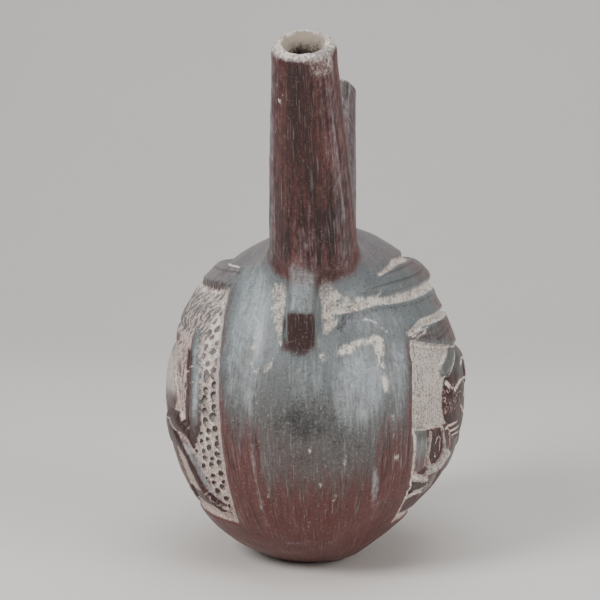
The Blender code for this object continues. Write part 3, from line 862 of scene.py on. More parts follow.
        # The leg's ridge: pale dust with a painted highlight; the shine beside it is a painted highlight.
        coat.lay(within(view.lines(self.ridge), 0.9) * 0.9, dust=0.75, cream=0.3, haze=0.4, stain=0.0)
        coat.lay(within(view.lines(self.shine), 0.9) * 0.8, haze=0.75, stain=0.1, dust=0.1)
        for points in self.claws:
            cut = view.line(points, *[0.4] * (len(points) - 1), 0.25)
            coat.height -= 0.6 * within(cut, 0.8)
            coat.lay(band(cut, 0.6, 0.15, 0.4) * 0.8, dust=0.9, cream=0.2, stain=0.0)
            coat.lay(within(cut, 0.4) * 0.8, dust=0.0, stain=1.0)
        eye = view.oval((-36.5, 13.6), (1.9, 1.7))
        coat.height += 0.5 * swell(np.abs(eye) - 0.5, 0.4) + 0.5 * swell(eye + 1.0, 0.6)
        coat.lay(band(eye, -0.5, 0.2, 0.4), dust=1.0)
        mouth = view.line(((-45, 8), (-40, 6), (-36.5, 6.6)), 0.5, 0.4, 0.2)
        coat.height -= 0.7 * within(mouth, 0.9)
        coat.lay(within(mouth, 0.5), dust=0.9, cream=0.3)

    def add_plate(self, coat: Coat, view: View) -> None:
        """The ruled plate over the panel, its ragged lower edge and the groove above it.

        Args:
            coat: The coat that gets them.
            view: The places, seen from this side.
        """
        across, up = view.across, view.up
        plate = view.line(((-30, 48.4), (30, 48.4)), 3.6)
        lip = view.line(((-30, 45.8), (30, 45.8)), 1.9)
        coat.height += np.maximum(0.3 * swell(plate, 2.4), 0.5 * swell(lip, 1.8))
        shows = np.maximum(within(plate, 1.0), within(lip, 0.8))
        coat.lay(shows, dust=0.12, cream=0.0, gloss=0.3, warm=0.65, stain=0.1, haze=0.35)
        coat.rule(0.5 * shows, up * 1.1 + 0.02 * across)
        ragged = 0.5 * np.sin(across * 3.4) + 0.4 * np.sin(across * 1.9 + 1.0)
        fringe = band(up + ragged, 44.9, 0.9, 0.8) * band(across, 0.0, 36.0, 3.0)
        coat.lay(fringe * 0.7, dust=0.2, stain=0.7, haze=0.0, warm=0.6)
        coat.lay(band(up + ragged, 43.0, 0.7, 0.8) * band(across, 0.0, 33.0, 2.0), **pale(0.6))
        groove = view.folded().line(((8, 53.6), (22, 53), (29, 52)), 0.2, 0.7, 0.5)
        coat.height -= 0.5 * within(groove, 0.9)
        coat.lay(within(groove, 0.6), **pale(1.0))

    def coat(self, view: View) -> Coat:
        """The relief of the whole side and its finish.

        Args:
            view: The places, seen from this side.

        Returns:
            The side's coat.
        """
        coat = Coat.bare(len(view.up), 1.0)
        coat.lay(np.ones(len(view.up)), dust=0.84, cream=0.08, warm=0.7)
        cover = self.panel.press(coat, self.parts, view)
        self.add_pellets(coat, cover, view)
        self.add_hatching(coat, view)
        self.add_tail(coat, view)
        self.add_carving(coat, view)
        self.panel.frame(coat, view, 0.35)
        self.add_plate(coat, view)
        return coat


@dataclass(frozen=True)
class RightSide(Side):
    """The side towards +X: a bird with a looped tail and a clawed foot, under a roll and three grooves."""

    panel: Panel = Panel(48.0, 54.0, -0.6, 21.0, 0.0033, -47.0, -2.3)
    edge: float = 10.0
    band_sink: float = -1.1
    parts: tuple = (
        Pad("body", 1.6, 8.0, 0.12, 0.2, 0.6, (5, 2), (27, 19)),
        Limb("leaf", 2.1, 3.0, 0.05, 0.75, 0.2, ((12, 21.5), (20, 18), (27, 14.5), (30.5, 12.8)),
             (1.6, 2.5, 2.9, 1.6)),
        Limb("tail_root", 1.9, 3.0, 0.2, 0.6, 0.15, ((44.4, -9.6), (43.6, -14), (41, -20.5)),
             (3.6, 3.8, 3.4)),
        Limb("tail_loop", 2.7, 1.0, 0.72, 0.3, 0.0,
             ((39.6, -8.2), (39.3, -13), (38.6, -18), (36, -22), (31.8, -23.2), (28.8, -20.3), (28.8, -16.4),
              (31.4, -12.5), (33, -8.2)), (0.4, 0.45, 0.6, 0.9, 1.2, 1, 0.6, 0.5, 0.4)),
        Limb("tail_band", 2.9, 1.6, 0.66, 0.4, 0.1, ((35, -24.6), (29, -23.4), (24.6, -19)), (1.3, 1.9, 1.7)),
        Limb("upper_claw", 2.0, 1.4, 0.95, 0.2, 0.0, ((43.6, -24), (38.6, -26.4), (32, -28.4)),
             (0.9, 1.4, 1.2)),
        Limb("middle_claw", 1.6, 2.0, 0.1, 0.3, 0.8, ((41.4, -28.8), (36, -30.4), (29, -31.2)),
             (1.6, 2.2, 1.6)),
        Limb("lower_claw", 1.4, 1.2, 0.95, 0.2, 0.0, ((39.6, -35.4), (34.4, -34.4), (29, -32.8)),
             (1, 1.2, 1)),
        Limb("claw_root", 1.4, 2.4, 0.4, 0.45, 0.5, ((26, -29), (24, -33.5)), (3, 3.4)),
        Limb("neck", 3.0, 4.0, 0.25, 0.5, 0.4, ((-12, 9), (-24, 2), (-32, 3), (-35, 12)), (9, 6, 4.6, 4.4)),
        Pad("head", 3.8, 4.0, 0.2, 0.5, 0.4, (-35, 15.5), (7, 5.4)),
        Limb("beak", 3.0, 2.0, 0.2, 0.5, 0.4, ((-40, 15.5), (-44.5, 12), (-44.5, 5.5)), (2.8, 2, 1)),
        Pad("thigh", 1.8, 5.0, 0.2, 0.5, 0.45, (-8, -14), (9, 10)),
        Pad("foot", 1.1, 4.0, 0.3, 0.5, 0.45, (4, -24), (14, 8)),
        Limb("shank", 2.7, 2.6, 0.2, 0.5, 0.4, ((-10, -20), (-16, -31), (-15, -41)), (4.6, 3.2, 2.8)),
        Limb("toes", 2.5, 1.8, 0.2, 0.5, 0.4, ((-15, -41.5), (-30, -41)), (2.6, 1.6)),
    )
    feathers: tuple = (
        (((23, 5.3), (15.5, 7.2), (2, 7.4)), 0.7), (((28.4, 8.4), (25, 6)), 1.0),
        (((33.4, 14.4), (33, 11.4), (30.6, 9.6)), 0.4), (((33, 14.8), (26, 18.2), (18, 21.4)), 0.35),
        (((29.4, -8.8), (23.5, -8.2), (18, -8)), 0.45), (((26, -11.2), (20, -10.8), (13, -10.6)), 0.45),
        (((21, -13.6), (15, -13.4), (9, -13.4)), 0.4), (((14, -2.5), (7, -6), (0, -7)), 0.5),
        (((10, 13), (1, 14.5), (-8, 13)), 0.6), (((8, 5), (-1, 6), (-9, 5)), 0.6),
        (((8, 0), (-2, 0.5), (-10, -2)), 0.6),
    )
    seams: tuple = (
        (((48, -6.2), (43, -6.6), (37, -6.6), (33, -7.4)), 0.3, 0.6),
        (((35.2, -10.6), (35.6, -13.4), (35.2, -16.2), (33.9, -18.9), (32.1, -18.5), (32.2, -16),
          (33.2, -11.6), (35.2, -10.6)), 0.2, 0.6),
        (((33, -7.6), (30.2, -12), (26.6, -18)), 0.35, 0.7), (((28, -8), (25, -13), (23, -18)), 0.3, 0.5),
        (((46.4, -20.8), (44, -23.6), (40, -25.6)), 0.45, 0.8),
        (((40.6, -32.6), (35, -33.4), (28, -34.2)), 0.4, 0.7),
    )
    claw_shades: tuple = (((38.6, -38.6), (34, -37.2)), ((40, -33.2), (35, -32)))

    def add_ground(self, coat: Coat, cover: Array, view: View) -> None:
        """The pale ground round the figures, and the raised dark one under the looped tail.

        Args:
            coat: The coat that gets them.
            cover: How far a figure covers each point.
            view: The places, seen from this side.
        """
        across, up, bare = view.across, view.up, 1.0 - cover
        coat.lay(band(up, 22.6, 1.3, 1.6) * bare * 0.9, cream=0.55)
        coat.lay(band(across, 37.5, 1.5, 6.0) * band(up, 6.0, 9.0, 8.0) * bare * 0.3, warm=0.8, dust=0.5)
        low = band(up, -25.0, 18.6, 1.6) * band(across, 31.0, 15.6, 2.0)
        coat.lay(low * bare, dust=0.15, cream=0.0, stain=0.6, warm=1.0)
        coat.height += 1.2 * low * bare
        high = (1.0 - low) * bare
        coat.lay(high * within(across - 35.5, 4.0) * within(24.5 - across, 3.0), dust=0.8, haze=0.3, warm=0.2)
        coat.lay(high * band(up, 19.0, 2.0, 5.0) * 0.7, dust=1.0, warm=0.15, cream=0.35)

    def add_bird(self, coat: Coat, view: View) -> None:
        """Curls and feathers on the bird's dark body, and its eye.

        Args:
            coat: The coat that gets them.
            view: The places, seen from this side.
        """
        bird = within(self.on("body", view), 1.0) * (1.0 - within(self.on("leaf", view), 1.0))
        curls = view.cells((2.9, 2.4), (0.95, 0.75), 0.4, 31.0)
        coat.lay(bird * within(view.up - 10.0, 8.0), dust=0.0, stain=0.85, warm=1.0, gloss=0.0)
        marks = bird * band(view.up, 2.5, 5.6, 3.0) * within(13.0 - view.across, 5.0)
        coat.lay(band(curls, 0.0, 0.15, 0.5) * marks * 0.9, dust=0.9, cream=0.6, stain=0.0)
        coat.height -= 0.3 * band(curls, 0.0, 0.2, 0.6) * marks
        for points, radius in self.feathers:
            feather = view.line(points, *[radius] * (len(points) - 1), radius * 0.4)
            coat.lay(within(feather - 0.1, 0.6), **pale(0.8))
            coat.height -= 0.4 * within(feather, 0.9)
        eye = view.oval((-35.5, 16.6), (1.7, 1.6))
        coat.height += 0.5 * swell(np.abs(eye) - 0.5, 0.4)
        coat.lay(band(eye, 0.7, 0.2, 0.4), dust=1.0)

    def add_loop(self, coat: Coat, view: View) -> None:
        """The marks in and round the looped tail and the claws.

        Args:
            coat: The coat that gets them.
            view: The places, seen from this side.
        """
        inner = view.oval((34.6, -15.0), (4.6, 6.0), 12.0)
        deep = within(inner - 0.2, 0.8) * within(-self.on("tail_loop", view), 0.4)
        coat.lay(deep, dust=0.05, cream=0.0, gloss=0.1, stain=0.8, warm=1.0)
        root = within(self.on("tail_root", view), 1.5)
        coat.lay(root * within(view.up + 9.5, 5.0), gloss=0.5, haze=0.35)
        coat.lay(root * eased((-14.0 - view.up) / 6.0), warm=1.0, stain=0.4, gloss=0.1)
        for points, radius, amount in self.seams:
            seam = view.line(points, radius)
            coat.lay(within(seam, 0.45), **pale(amount))
            coat.height += 0.25 * within(seam, 0.8)
        for points in self.claw_shades:
            coat.lay(within(view.line(points, 0.7, 0.9), 0.6) * 0.9, dust=0.05, cream=0.0, stain=0.9)

    def add_roll(self, coat: Coat, view: View) -> None:
        """The ruled roll, the lens and the strip between them, over the panel.

        Args:
            coat: The coat that gets them.
            view: The places, seen from this side.
        """
        up, half = view.up, view.folded()
        reach = half.across
        red = np.clip((26.0 - reach) / 16.0, 0.0, 1.0)
        roll = half.line(((-1, 48.8), (22, 48.2), (36, 45.5), (46, 44)), 4.2, 4.0, 3.0, 0.6)
        shows = within(roll + 0.4, 1.2)
        sunk = within(up - 41.0, 5.0) * within(20.0 - up, 5.0)
        coat.height += self.band_sink * sunk + 2.1 * swell(roll, 3.4)
        coat.lay(shows, dust=0.15, gloss=0.35, soot=0.35, haze=0.1, warm=0.25)
        coat.lay(shows * red * 0.5, haze=0.0, stain=0.35)
        coat.rule(0.5 * shows, up * 0.9 + 0.1 * reach)
        lens = within(half.line(((-1, 27.5), (20, 27.5), (41, 27.8)), 4.6, 4.2, 0.4), 1.2)
        lens = lens * within(self.panel.top + self.panel.top_curve * reach ** 2 + 0.8 - up, 0.8)
        coat.lay(lens, dust=0.12, gloss=0.2, stain=0.5, soot=0.4, haze=0.1, warm=0.5)
        coat.rule(0.8 * lens, up + 0.12 * reach + 0.25 * np.sin(reach * 0.3))
        strip = band(up, 38.0, 2.6, 1.5) * within(reach - 44.0, 8.0)
        coat.lay(strip, gloss=0.35, soot=0.3)
        coat.rule(0.5 * strip * within(reach - 24.0, 10.0), up * 1.1)
        coat.lay(np.clip(shows + lens + strip, 0.0, 1.0) * red, warm=0.8)

    def add_grooves(self, coat: Coat, view: View) -> None:
        """The three crusted grooves over the panel.

        Args:
            coat: The coat that gets them.
            view: The places, seen from this side.
        """
        half = view.folded()
        upper = half.line(((-1, 54.4), (18, 53.8), (34, 49.6)), 1.0, 1.0, 0.4)
        middle = half.line(((-1, 43.6), (15, 43.4), (30, 41.8), (44, 40.8), (52, 38)),
                           1.5, 1.5, 1.3, 1.0, 0.6)
        lower = half.line(((-1, 33.6), (14, 33.4), (32, 32.4), (41, 29)), 1.2, 1.2, 0.9, 0.4)
        for cut, depth in ((upper, 1.3), (middle, 1.0), (lower, 1.5)):
            coat.height -= depth * within(cut, 1.2)
        full = {"gloss": 0.0, "stain": 0.0, "warm": 0.0}
        spot = View(view.across, view.up - 1.6 + 0.0016 * view.across ** 2)
        spot = spot.cells((3.7, 60.0), (0.9, 0.45), 0.45, 17.0)
        coat.lay(band(middle, 1.3, 0.4, 0.8) * (view.up < 42.0) * 0.9, dust=0.0, stain=0.5, soot=0.7)
        coat.lay(within(upper - 0.1, 1.2), dust=0.75, cream=0.55, **full)
        coat.lay(within(middle - 0.1, 1.4), dust=0.75, cream=0.58, **full)
        coat.lay(band(middle, -1.0, 0.5, 0.6) * within(spot, 0.6) * 0.8, dust=0.1, cream=0.0, stain=0.6)
        coat.lay(within(lower - 0.2, 0.9), dust=0.75, cream=0.5, **full)
        coat.lay(band(lower, 0.2, 0.2, 0.5), dust=1.0, cream=0.85, **full)
        coat.lay(band(lower, -0.5, 0.1, 0.4) * within(spot, 1.4), dust=0.2, cream=0.0, stain=0.4)
        for rise in (1.1, 2.3):
            edge = half.line(((40.4, 28.6 - rise), (36.5, 30.4 - rise), (30, 31.6 - rise)), 0.2, 0.3, 0.2)
            coat.lay(within(edge, 0.5) * 0.8, dust=1.0, cream=0.5)

    def coat(self, view: View) -> Coat:
        """The relief of the whole side and its finish.

        Args:
            view: The places, seen from this side.

        Returns:
            The side's coat.
        """
        coat = Coat.bare(len(view.up), 1.0)
        coat.lay(np.ones(len(view.up)), dust=0.93, cream=0.12, warm=0.15)
        self.add_ground(coat, self.panel.press(coat, self.parts, view), view)
        self.add_bird(coat, view)
        self.add_loop(coat, view)
        self.panel.frame(coat, view, 0.75)
        self.add_roll(coat, view)
        self.add_grooves(coat, view)
        return coat


@dataclass(frozen=True)
class Bands:
    """The plain bands between the panels: grey haziness with painted sheen, soot, ridges, crusts, a scratch
    and a lug's painted shadow.
    """

    sheen_films: tuple = (
        ((-19, 40), (7, 15), 0.6), ((-22, 20), (8.5, 22), 0.45), ((20, 12), (10, 16), 0.58),
        ((2, 16), (9, 9), 0.3), ((33.5, 12), (3.5, 18), 0.5), ((-16.6, 33), (2.4, 15), 0.75),
        ((26, 34), (10, 4), 0.35), ((-12, -16), (4, 10), 0.3), ((25.4, -28), (1.4, 10), 0.7),
    )
    soots: tuple = (
        ((0, -1), (14, 8), 1.0), ((13, -5), (9, 6), 0.7), ((-25, -2), (3, 11), 0.7),
        ((-2, -12), (20, 11), 0.55), ((14, -10), (14, 7), 0.55), ((27, 44), (8, 4), 0.4),
        ((4, -24), (26, 14), 0.35),
    )
    ridges: tuple = (
        (((-19.6, 8), (-18.8, -1.2), (-18.2, -9.7)), 0.35, 0.6),
        (((-18.2, -9.7), (-17.8, -21.2), (-17, -27.2), (-15.7, -34)), 0.45, 1.2),
        (((-15.7, -34), (-14, -42)), 0.4, 0.5), (((31.7, -1), (31, -10), (28.6, -19)), 0.3, 0.55),
        (((26.2, -23), (24.9, -31.5), (23.3, -40)), 0.5, 0.55),
    )
    crusts: tuple = (
        (((-10.6, 46.5), (-10.6, 40), (-9.2, 34), (-8, 26.5)), (1.4, 1.9, 1.7, 0.6), 0.95),
        (((-7.6, 49), (-7, 40)), (0.7, 0.9), 0.8),
        (((5.9, 51), (8.4, 45), (10.6, 40), (9.3, 33)), (1.7, 2.6, 3.6, 1.8), 0.85),
        (((12, 41.4), (18, 41.4), (26, 42.4)), (2.6, 1.5, 0.8), 0.85),
        (((6.5, 23.4), (6.3, 20.4)), (1.3, 0.8), 0.75),
        (((-19.2, 47.5), (-18.5, 41), (-18.3, 35)), (0.5, 0.8, 0.6), 0.75),
        (((-17.8, 33), (-18.3, 25)), (1, 1.5), 0.75), (((-15.4, 33), (-15, 24)), (0.5, 0.9), 0.7),
        (((-12, 44.8), (-11.8, 34.7), (-12.3, 24)), (0.5, 0.6, 0.5), 0.65),
        (((-19, 20.5), (-17.6, 17), (-14.6, 17.4), (-12, 19.4), (-11, 23)), (0.6, 1, 1.2, 0.8, 0.4), 0.85),
        (((13, 24), (16.5, 25.6), (20, 27), (24, 28.3), (26.8, 27.5)), (1.5, 1.9, 1.6, 1.4, 1.5), 0.9),
        (((26.8, 27.5), (27.5, 24), (27.4, 20.4)), (1.6, 1.6, 1.2), 1.0),
        (((27.4, 20.4), (28.4, 15.4), (29.6, 10)), (0.9, 1.1, 0.8), 0.9),
        (((29.6, 10), (31, 4.5), (31.7, -1)), (0.6, 0.7, 0.4), 0.75),
        (((-1.6, 18.6), (-0.8, 17.6)), (1.2, 0.9), 0.7), (((-7, 23.8), (-6.4, 21.2)), (0.5,), 0.75),
        (((-17.8, 10.6), (-16.6, 4.7)), (0.6, 0.5), 0.75), (((5.4, 12.5), (5.2, 9.5)), (0.5,), 0.75),
        (((14.4, -13), (14.6, -15.6)), (0.7, 0.9), 1.0), (((6, -23.6), (6.1, -24.4)), (0.6, 0.5), 1.0),
        (((2.5, -10.5), (2.6, -11)), (0.5, 0.4), 1.0), (((-4.2, -25), (-4.3, -28.6)), (0.4,), 0.9),
        (((10.6, -28), (10.5, -31)), (0.4, 0.3), 0.9), (((0.7, -39.4), (0.6, -42)), (0.7, 0.8), 0.75),
        (((-12.8, -26.4), (-13.3, -30)), (0.4,), 0.8), (((33.2, -14.6), (33.4, -16.4)), (0.8,), 1.0),
    )
    blotch: tuple = (((12.5, 32.5), (15.5, 36.5), (20, 39), (27, 39.6), (34, 37.6)), (1.6, 2, 1.2, 0.8, 0.4))
    scratch: tuple = (((20.4, 35.6), (24, 34.6), (27.7, 32.2), (31, 29.6), (34, 26.8)),
                      (0.1, 0.2, 0.2, 0.2, 0.1))
    bright: tuple = ((((20.4, 28.2), (24, 29.3), (26.8, 28.6), (27.6, 24)), (0.1, 0.4, 0.4, 0.2)),
                     (((28.4, 14), (29.4, 8)), (0.3, 0.1)))
    beige: tuple = ((((6.8, 51), (8.2, 45), (9, 38), (7.6, 31)), (2, 3, 3.4, 1.4)),
                    (((-8.4, 47), (-9.2, 40), (-8.8, 33), (-7.8, 27)), (1.6, 2.2, 1.6, 0.5)))
    lug_shadow: tuple = ((((-1.2, 33), (-1.4, 28.6)), (6.4, 5.8)), (((-5, 31), (-7.8, 24)), (1.8, 0.4)))

    def add_stains(self, coat: Coat, view: View) -> None:
        """Warmer colour towards the foot and sides, partly a painted reddish reflection; grey haziness with
        painted sheen; soot; upright ridges with painted highlights; pale crusts.

        Args:
            coat: The coat that gets them.
            view: The places, seen from the front or the back.
        """
        # Warmer towards the foot and the sides: partly the clay's own tone, partly a painted reddish
        # reflection.
        edges = eased((np.abs(view.across - 3.0) - 20.0) / 14.0) * eased((16.0 - view.up) / 30.0)
        coat.lay(np.clip(eased((2.0 - view.up) / 52.0) + 0.35 * edges, 0.0, 1.0), warm=1.0)
        for name, places, spread in (("haze", self.sheen_films, 1.1), ("soot", self.soots, 1.7)):
            for centre, half, amount in places:
                patch = within(view.oval(centre, half), min(half) * spread) * amount
                coat.finish[name] = np.maximum(coat.finish[name], patch)
        coat.lay(within(view.lines(self.blotch), 1.8) * 0.85, soot=1.0, stain=0.25, haze=0.1)
        # Each upright ridge: a slight rise with pale wear and a painted highlight along it, and a warmer,
        # darker strip beside it.
        for points, radius, amount in self.ridges:
            line = view.line(points, radius)
            coat.height += 0.3 * np.exp(-np.maximum(line, 0.0) ** 2 / 1.6)
            coat.lay(np.clip(within(line - 0.2, 1.3) * amount, 0.0, 1.0), cream=0.3, haze=0.85)
            coat.lay(band(line, 1.4, 0.4, 0.8) * 0.35, warm=1.0, stain=0.3)
        for points, radii, amount in self.crusts:
            patch = view.line(points, *radii)
            coat.lay(within(patch - 0.3, 2.8), cream=amount * 0.68)
            coat.height += 0.06 * within(patch, 2.0)

    def coat(self, view: View, front: Array) -> Coat:
        """The marks on one band.

        Args:
            view: The places, seen from the front or the back.
            front: 1 on the front band, which has the scratch and the painted shadow under the lug, and 0 on
                the back one.

        Returns:
            The band's coat.
        """
        coat = Coat.bare(len(view.up))
        self.add_stains(coat, view)
        coat.lay(within(view.lines(*self.bright), 0.7), cream=0.85)
        coat.lay(band(view.oval((5.0, -22.0), (6.2, 6.4)), 0.0, 0.2, 0.8) * 0.35, haze=0.9)
        # A painted highlight line along the body's lower edge, with some pale crust.
        foot = band(view.up - 0.012 * view.across ** 2, -50.5, 0.1, 0.7)
        coat.lay(foot * 0.7 * band(view.across, 4.0, 13.0, 6.0), haze=0.9, cream=0.35)
        coat.lay(within(view.lines(*self.beige), 3.0) * front, dust=0.6, cream=0.5, warm=0.3, haze=0.2)
        # Painted shadow on the band under the front lug.
        under = within(view.lines(*self.lug_shadow), 3.4) * front
        coat.lay(under, stain=0.95, warm=0.8, haze=0.0, cream=0.0, dust=0.0)
        scratch = view.lines(self.scratch)
        coat.lay(within(scratch - 0.2, 0.7) * front, cream=0.62, stain=0.0)
        coat.height -= 0.12 * within(scratch, 0.4) * front
        return coat


# ---------------------------------------------------------------- the dressed outside

@dataclass(frozen=True)
class Outside:
    """Everything that lies on the form: both relief sides, the bands, the spouts, lugs and crown."""

    form: Form
    left: LeftSide = LeftSide()
    right: RightSide = RightSide()
    bands: Bands = Bands()
    fade: float = 6.0
    crown_sink: float = -2.8
    chip_edges: tuple = (-0.85, 0.4)
    grain_round: float = 60.0 * MM
    grain_spout: float = 16.0 * MM
    grain_up: float = 0.08
    grain_along: float = 0.06
    grain_apart: float = 0.3

    def spout_share(self, points: Array) -> Array:
        """How far each place belongs to the spouts or the strap, from 0 to 1."""
        reach = [part.distance(points) for part in (*self.form.spouts, self.form.strap)]
        return within((np.minimum.reduce(reach) - self.form.body.distance(points)) / MM + 5.0, 11.0)

    def flow(self, points: Array, share: Array) -> Array:
        """Coordinates that run slowly along the burnishing strokes and fast across them.

        Args:
            points: Places in metres.
            share: How far each place belongs to the spouts.

        Returns:
            A place in metres for each point, to read grain at.
        """
        around = points * np.array((1.0, 1.0, 0.0))
        around = around / np.maximum(np.linalg.norm(around, axis=1), PROBE)[:, None] * self.grain_round
        around[:, 2] = points[:, 2] * self.grain_up
        apart = np.array((self.grain_apart, 0.0, 0.0))
        for spout in self.form.spouts:
            along, out = spout.measured(points)
            out = out / np.maximum(np.linalg.norm(out, axis=1), PROBE)[:, None] * self.grain_spout
            grain = out + apart + along[:, None] * self.grain_along * np.array((0.0, 0.0, 1.0))
            side = share * (points[:, 1] * spout.rim[1] > 0.0)
            around = around + (grain - around) * side[:, None]
        return around

    def coat(self, points: Array, outward: Array) -> tuple[Coat, Array]:
        """What lies on the outside at places on the form.

        Args:
            points: Settled places in metres.
            outward: The outward direction at each.

        Returns:
            The coat, and the share of the spouts at each place.
        """
        side, forward, up = points[:, 0] / MM, -points[:, 1] / MM, (points[:, 2] - self.form.body.centre) / MM
        share = self.spout_share(points)
        bare = 1.0 - share
        coat = self.bands.coat(View(np.where(forward < 0.0, -side, side), up), (forward >= 0.0).astype(float))
        coat.height = coat.height * bare
        coat.fade(0.3 + 0.7 * bare)
        coat.mix(self.left.coat(View(forward, up)), within(side - self.left.edge, self.fade))
        coat.mix(self.right.coat(View(forward, up)), within(self.right.edge - side, self.fade))
        crown = within(side + 13.0, 18.0) * within(52.4 - up, 1.8) * band(forward, 0.0, 30.0, 20.0)
        coat.height += self.crown_sink * crown
        # The dome's top: warmer, with soot and some painted sheen from above.
        coat.lay(within(51.0 - up, 9.0) * bare * 0.8, warm=0.75, haze=0.4, soot=0.2)
        for spout in self.form.spouts:
            self.add_spout_wear(coat, spout, points, share * (points[:, 1] * spout.rim[1] > 0.0))
        self.add_lug_wear(coat, points, outward)
        coat.height += 0.14 * ripple(points, 17.0 * MM, 1.0) * (1.0 - 0.5 * share)
        coat.height += 0.05 * ripple(points, 5.0 * MM, 4.0)
        return coat, share

    def add_spout_wear(self, coat: Coat, spout: Spout, points: Array, near: Array) -> None:
        """Crust on a spout's lip, chips down it, the facets that the burnishing left, and upright strips of
        painted reflection on its sides and of painted shade down its front.

        Args:
            coat: The coat that gets them.
            spout: The spout.
            points: Places in metres.
            near: How far each place belongs to the spout.
        """
        along, out = spout.measured(points)
        down = (spout.length - along) / MM
        angle = np.arctan2(out[:, 0], -out[:, 1] * math.copysign(1.0, -spout.rim[1]))
        front = spout.rim[1] < 0.0

        def strip(middle: float, width: float) -> Array:
            """How far each place lies in an upright strip of the spout."""
            return near * np.exp(-((angle - middle) / width) ** 2)

        # The back spout is painted lighter, as painted light from above; the front spout is left darker.
        coat.lay(near, warm=0.6, haze=0.0 if front else 0.35, soot=0.2, gloss=0.0 if front else 0.3)
        # A painted sheen low on the front; painted reflections in upright strips down both sides, and painted
        # shade down the front between them.
        coat.lay(strip(-0.05, 0.5) * within(60.0 - down, 14.0) * 0.55, haze=0.36, stain=0.0)
        coat.lay(strip(0.95, 0.4), haze=0.28, warm=0.7)
        coat.lay(strip(-1.25, 0.3), haze=0.4)
        coat.lay(strip(-0.2, 0.42) * within(down - 48.0, 40.0), stain=0.85, warm=0.2)
        coat.lay(strip(-0.75, 0.2) * 0.6, stain=0.5, warm=1.0)
        coat.lay(within(down - 2.0, 2.6) * near, dust=0.66, cream=0.48, stain=0.0, warm=0.2, haze=0.5)
        worn = within(np.hypot((angle - 0.75) * 9.0, (down - 3.5) * 0.9) - 5.0, 5.0) * near
        coat.lay(worn, dust=0.42, cream=0.34, stain=0.0)
        coat.height += near * (0.1 * np.sin(angle * 9.0 + 0.7 * np.sin(along / MM * 0.05))
                               + 0.15 * within(down - 4.0, 5.0) * np.sin(angle * 4.0 + 0.6))
        chips = View(angle * 12.0, down).cells((2.2, 8.0), (0.45, 2.4), 0.4, 41.0)
        few = within(down - 42.0, 50.0) * near * band(angle, *self.chip_edges, 0.5)
        coat.lay(within(chips, 1.0) * few * 0.9, cream=0.62)

    def add_lug_wear(self, coat: Coat, points: Array, outward: Array) -> None:
        """The lugs' top face, painted lighter as lit from above and with pale crust at its sides, and painted
        shade on their undercut.

        Args:
            coat: The coat that gets them.
            points: Places in metres.
            outward: The outward direction at each.
        """
        near = within(self.form.lugs.distance(points) / MM - 0.9, 1.4)
        aside = np.abs(points[:, 0] / MM - self.form.lugs.side / MM)
        upward = outward[:, 2]
        # Painted light on the lugs' top faces, as if lit from above.
        top = near * within(0.02 - upward, 0.3)
        coat.lay(top, dust=0.05, cream=0.1, gloss=0.6, haze=0.38, stain=0.0, warm=0.0, soot=0.15)
        coat.lay(top * band(aside, 4.4, 0.3, 1.6) * 0.5, dust=0.5, cream=0.5, haze=0.0)
        coat.lay(near * within(np.abs(upward) - 0.04, 0.12) * 0.6, cream=0.6, haze=0.5)
        # Painted shade on the lugs' undercut faces.
        under = near * within(upward + 0.02, 0.3)
        coat.lay(under, dust=0.0, cream=0.0, stain=1.0, haze=0.0, warm=1.0, soot=0.0)


# ---------------------------------------------------------------- the skin

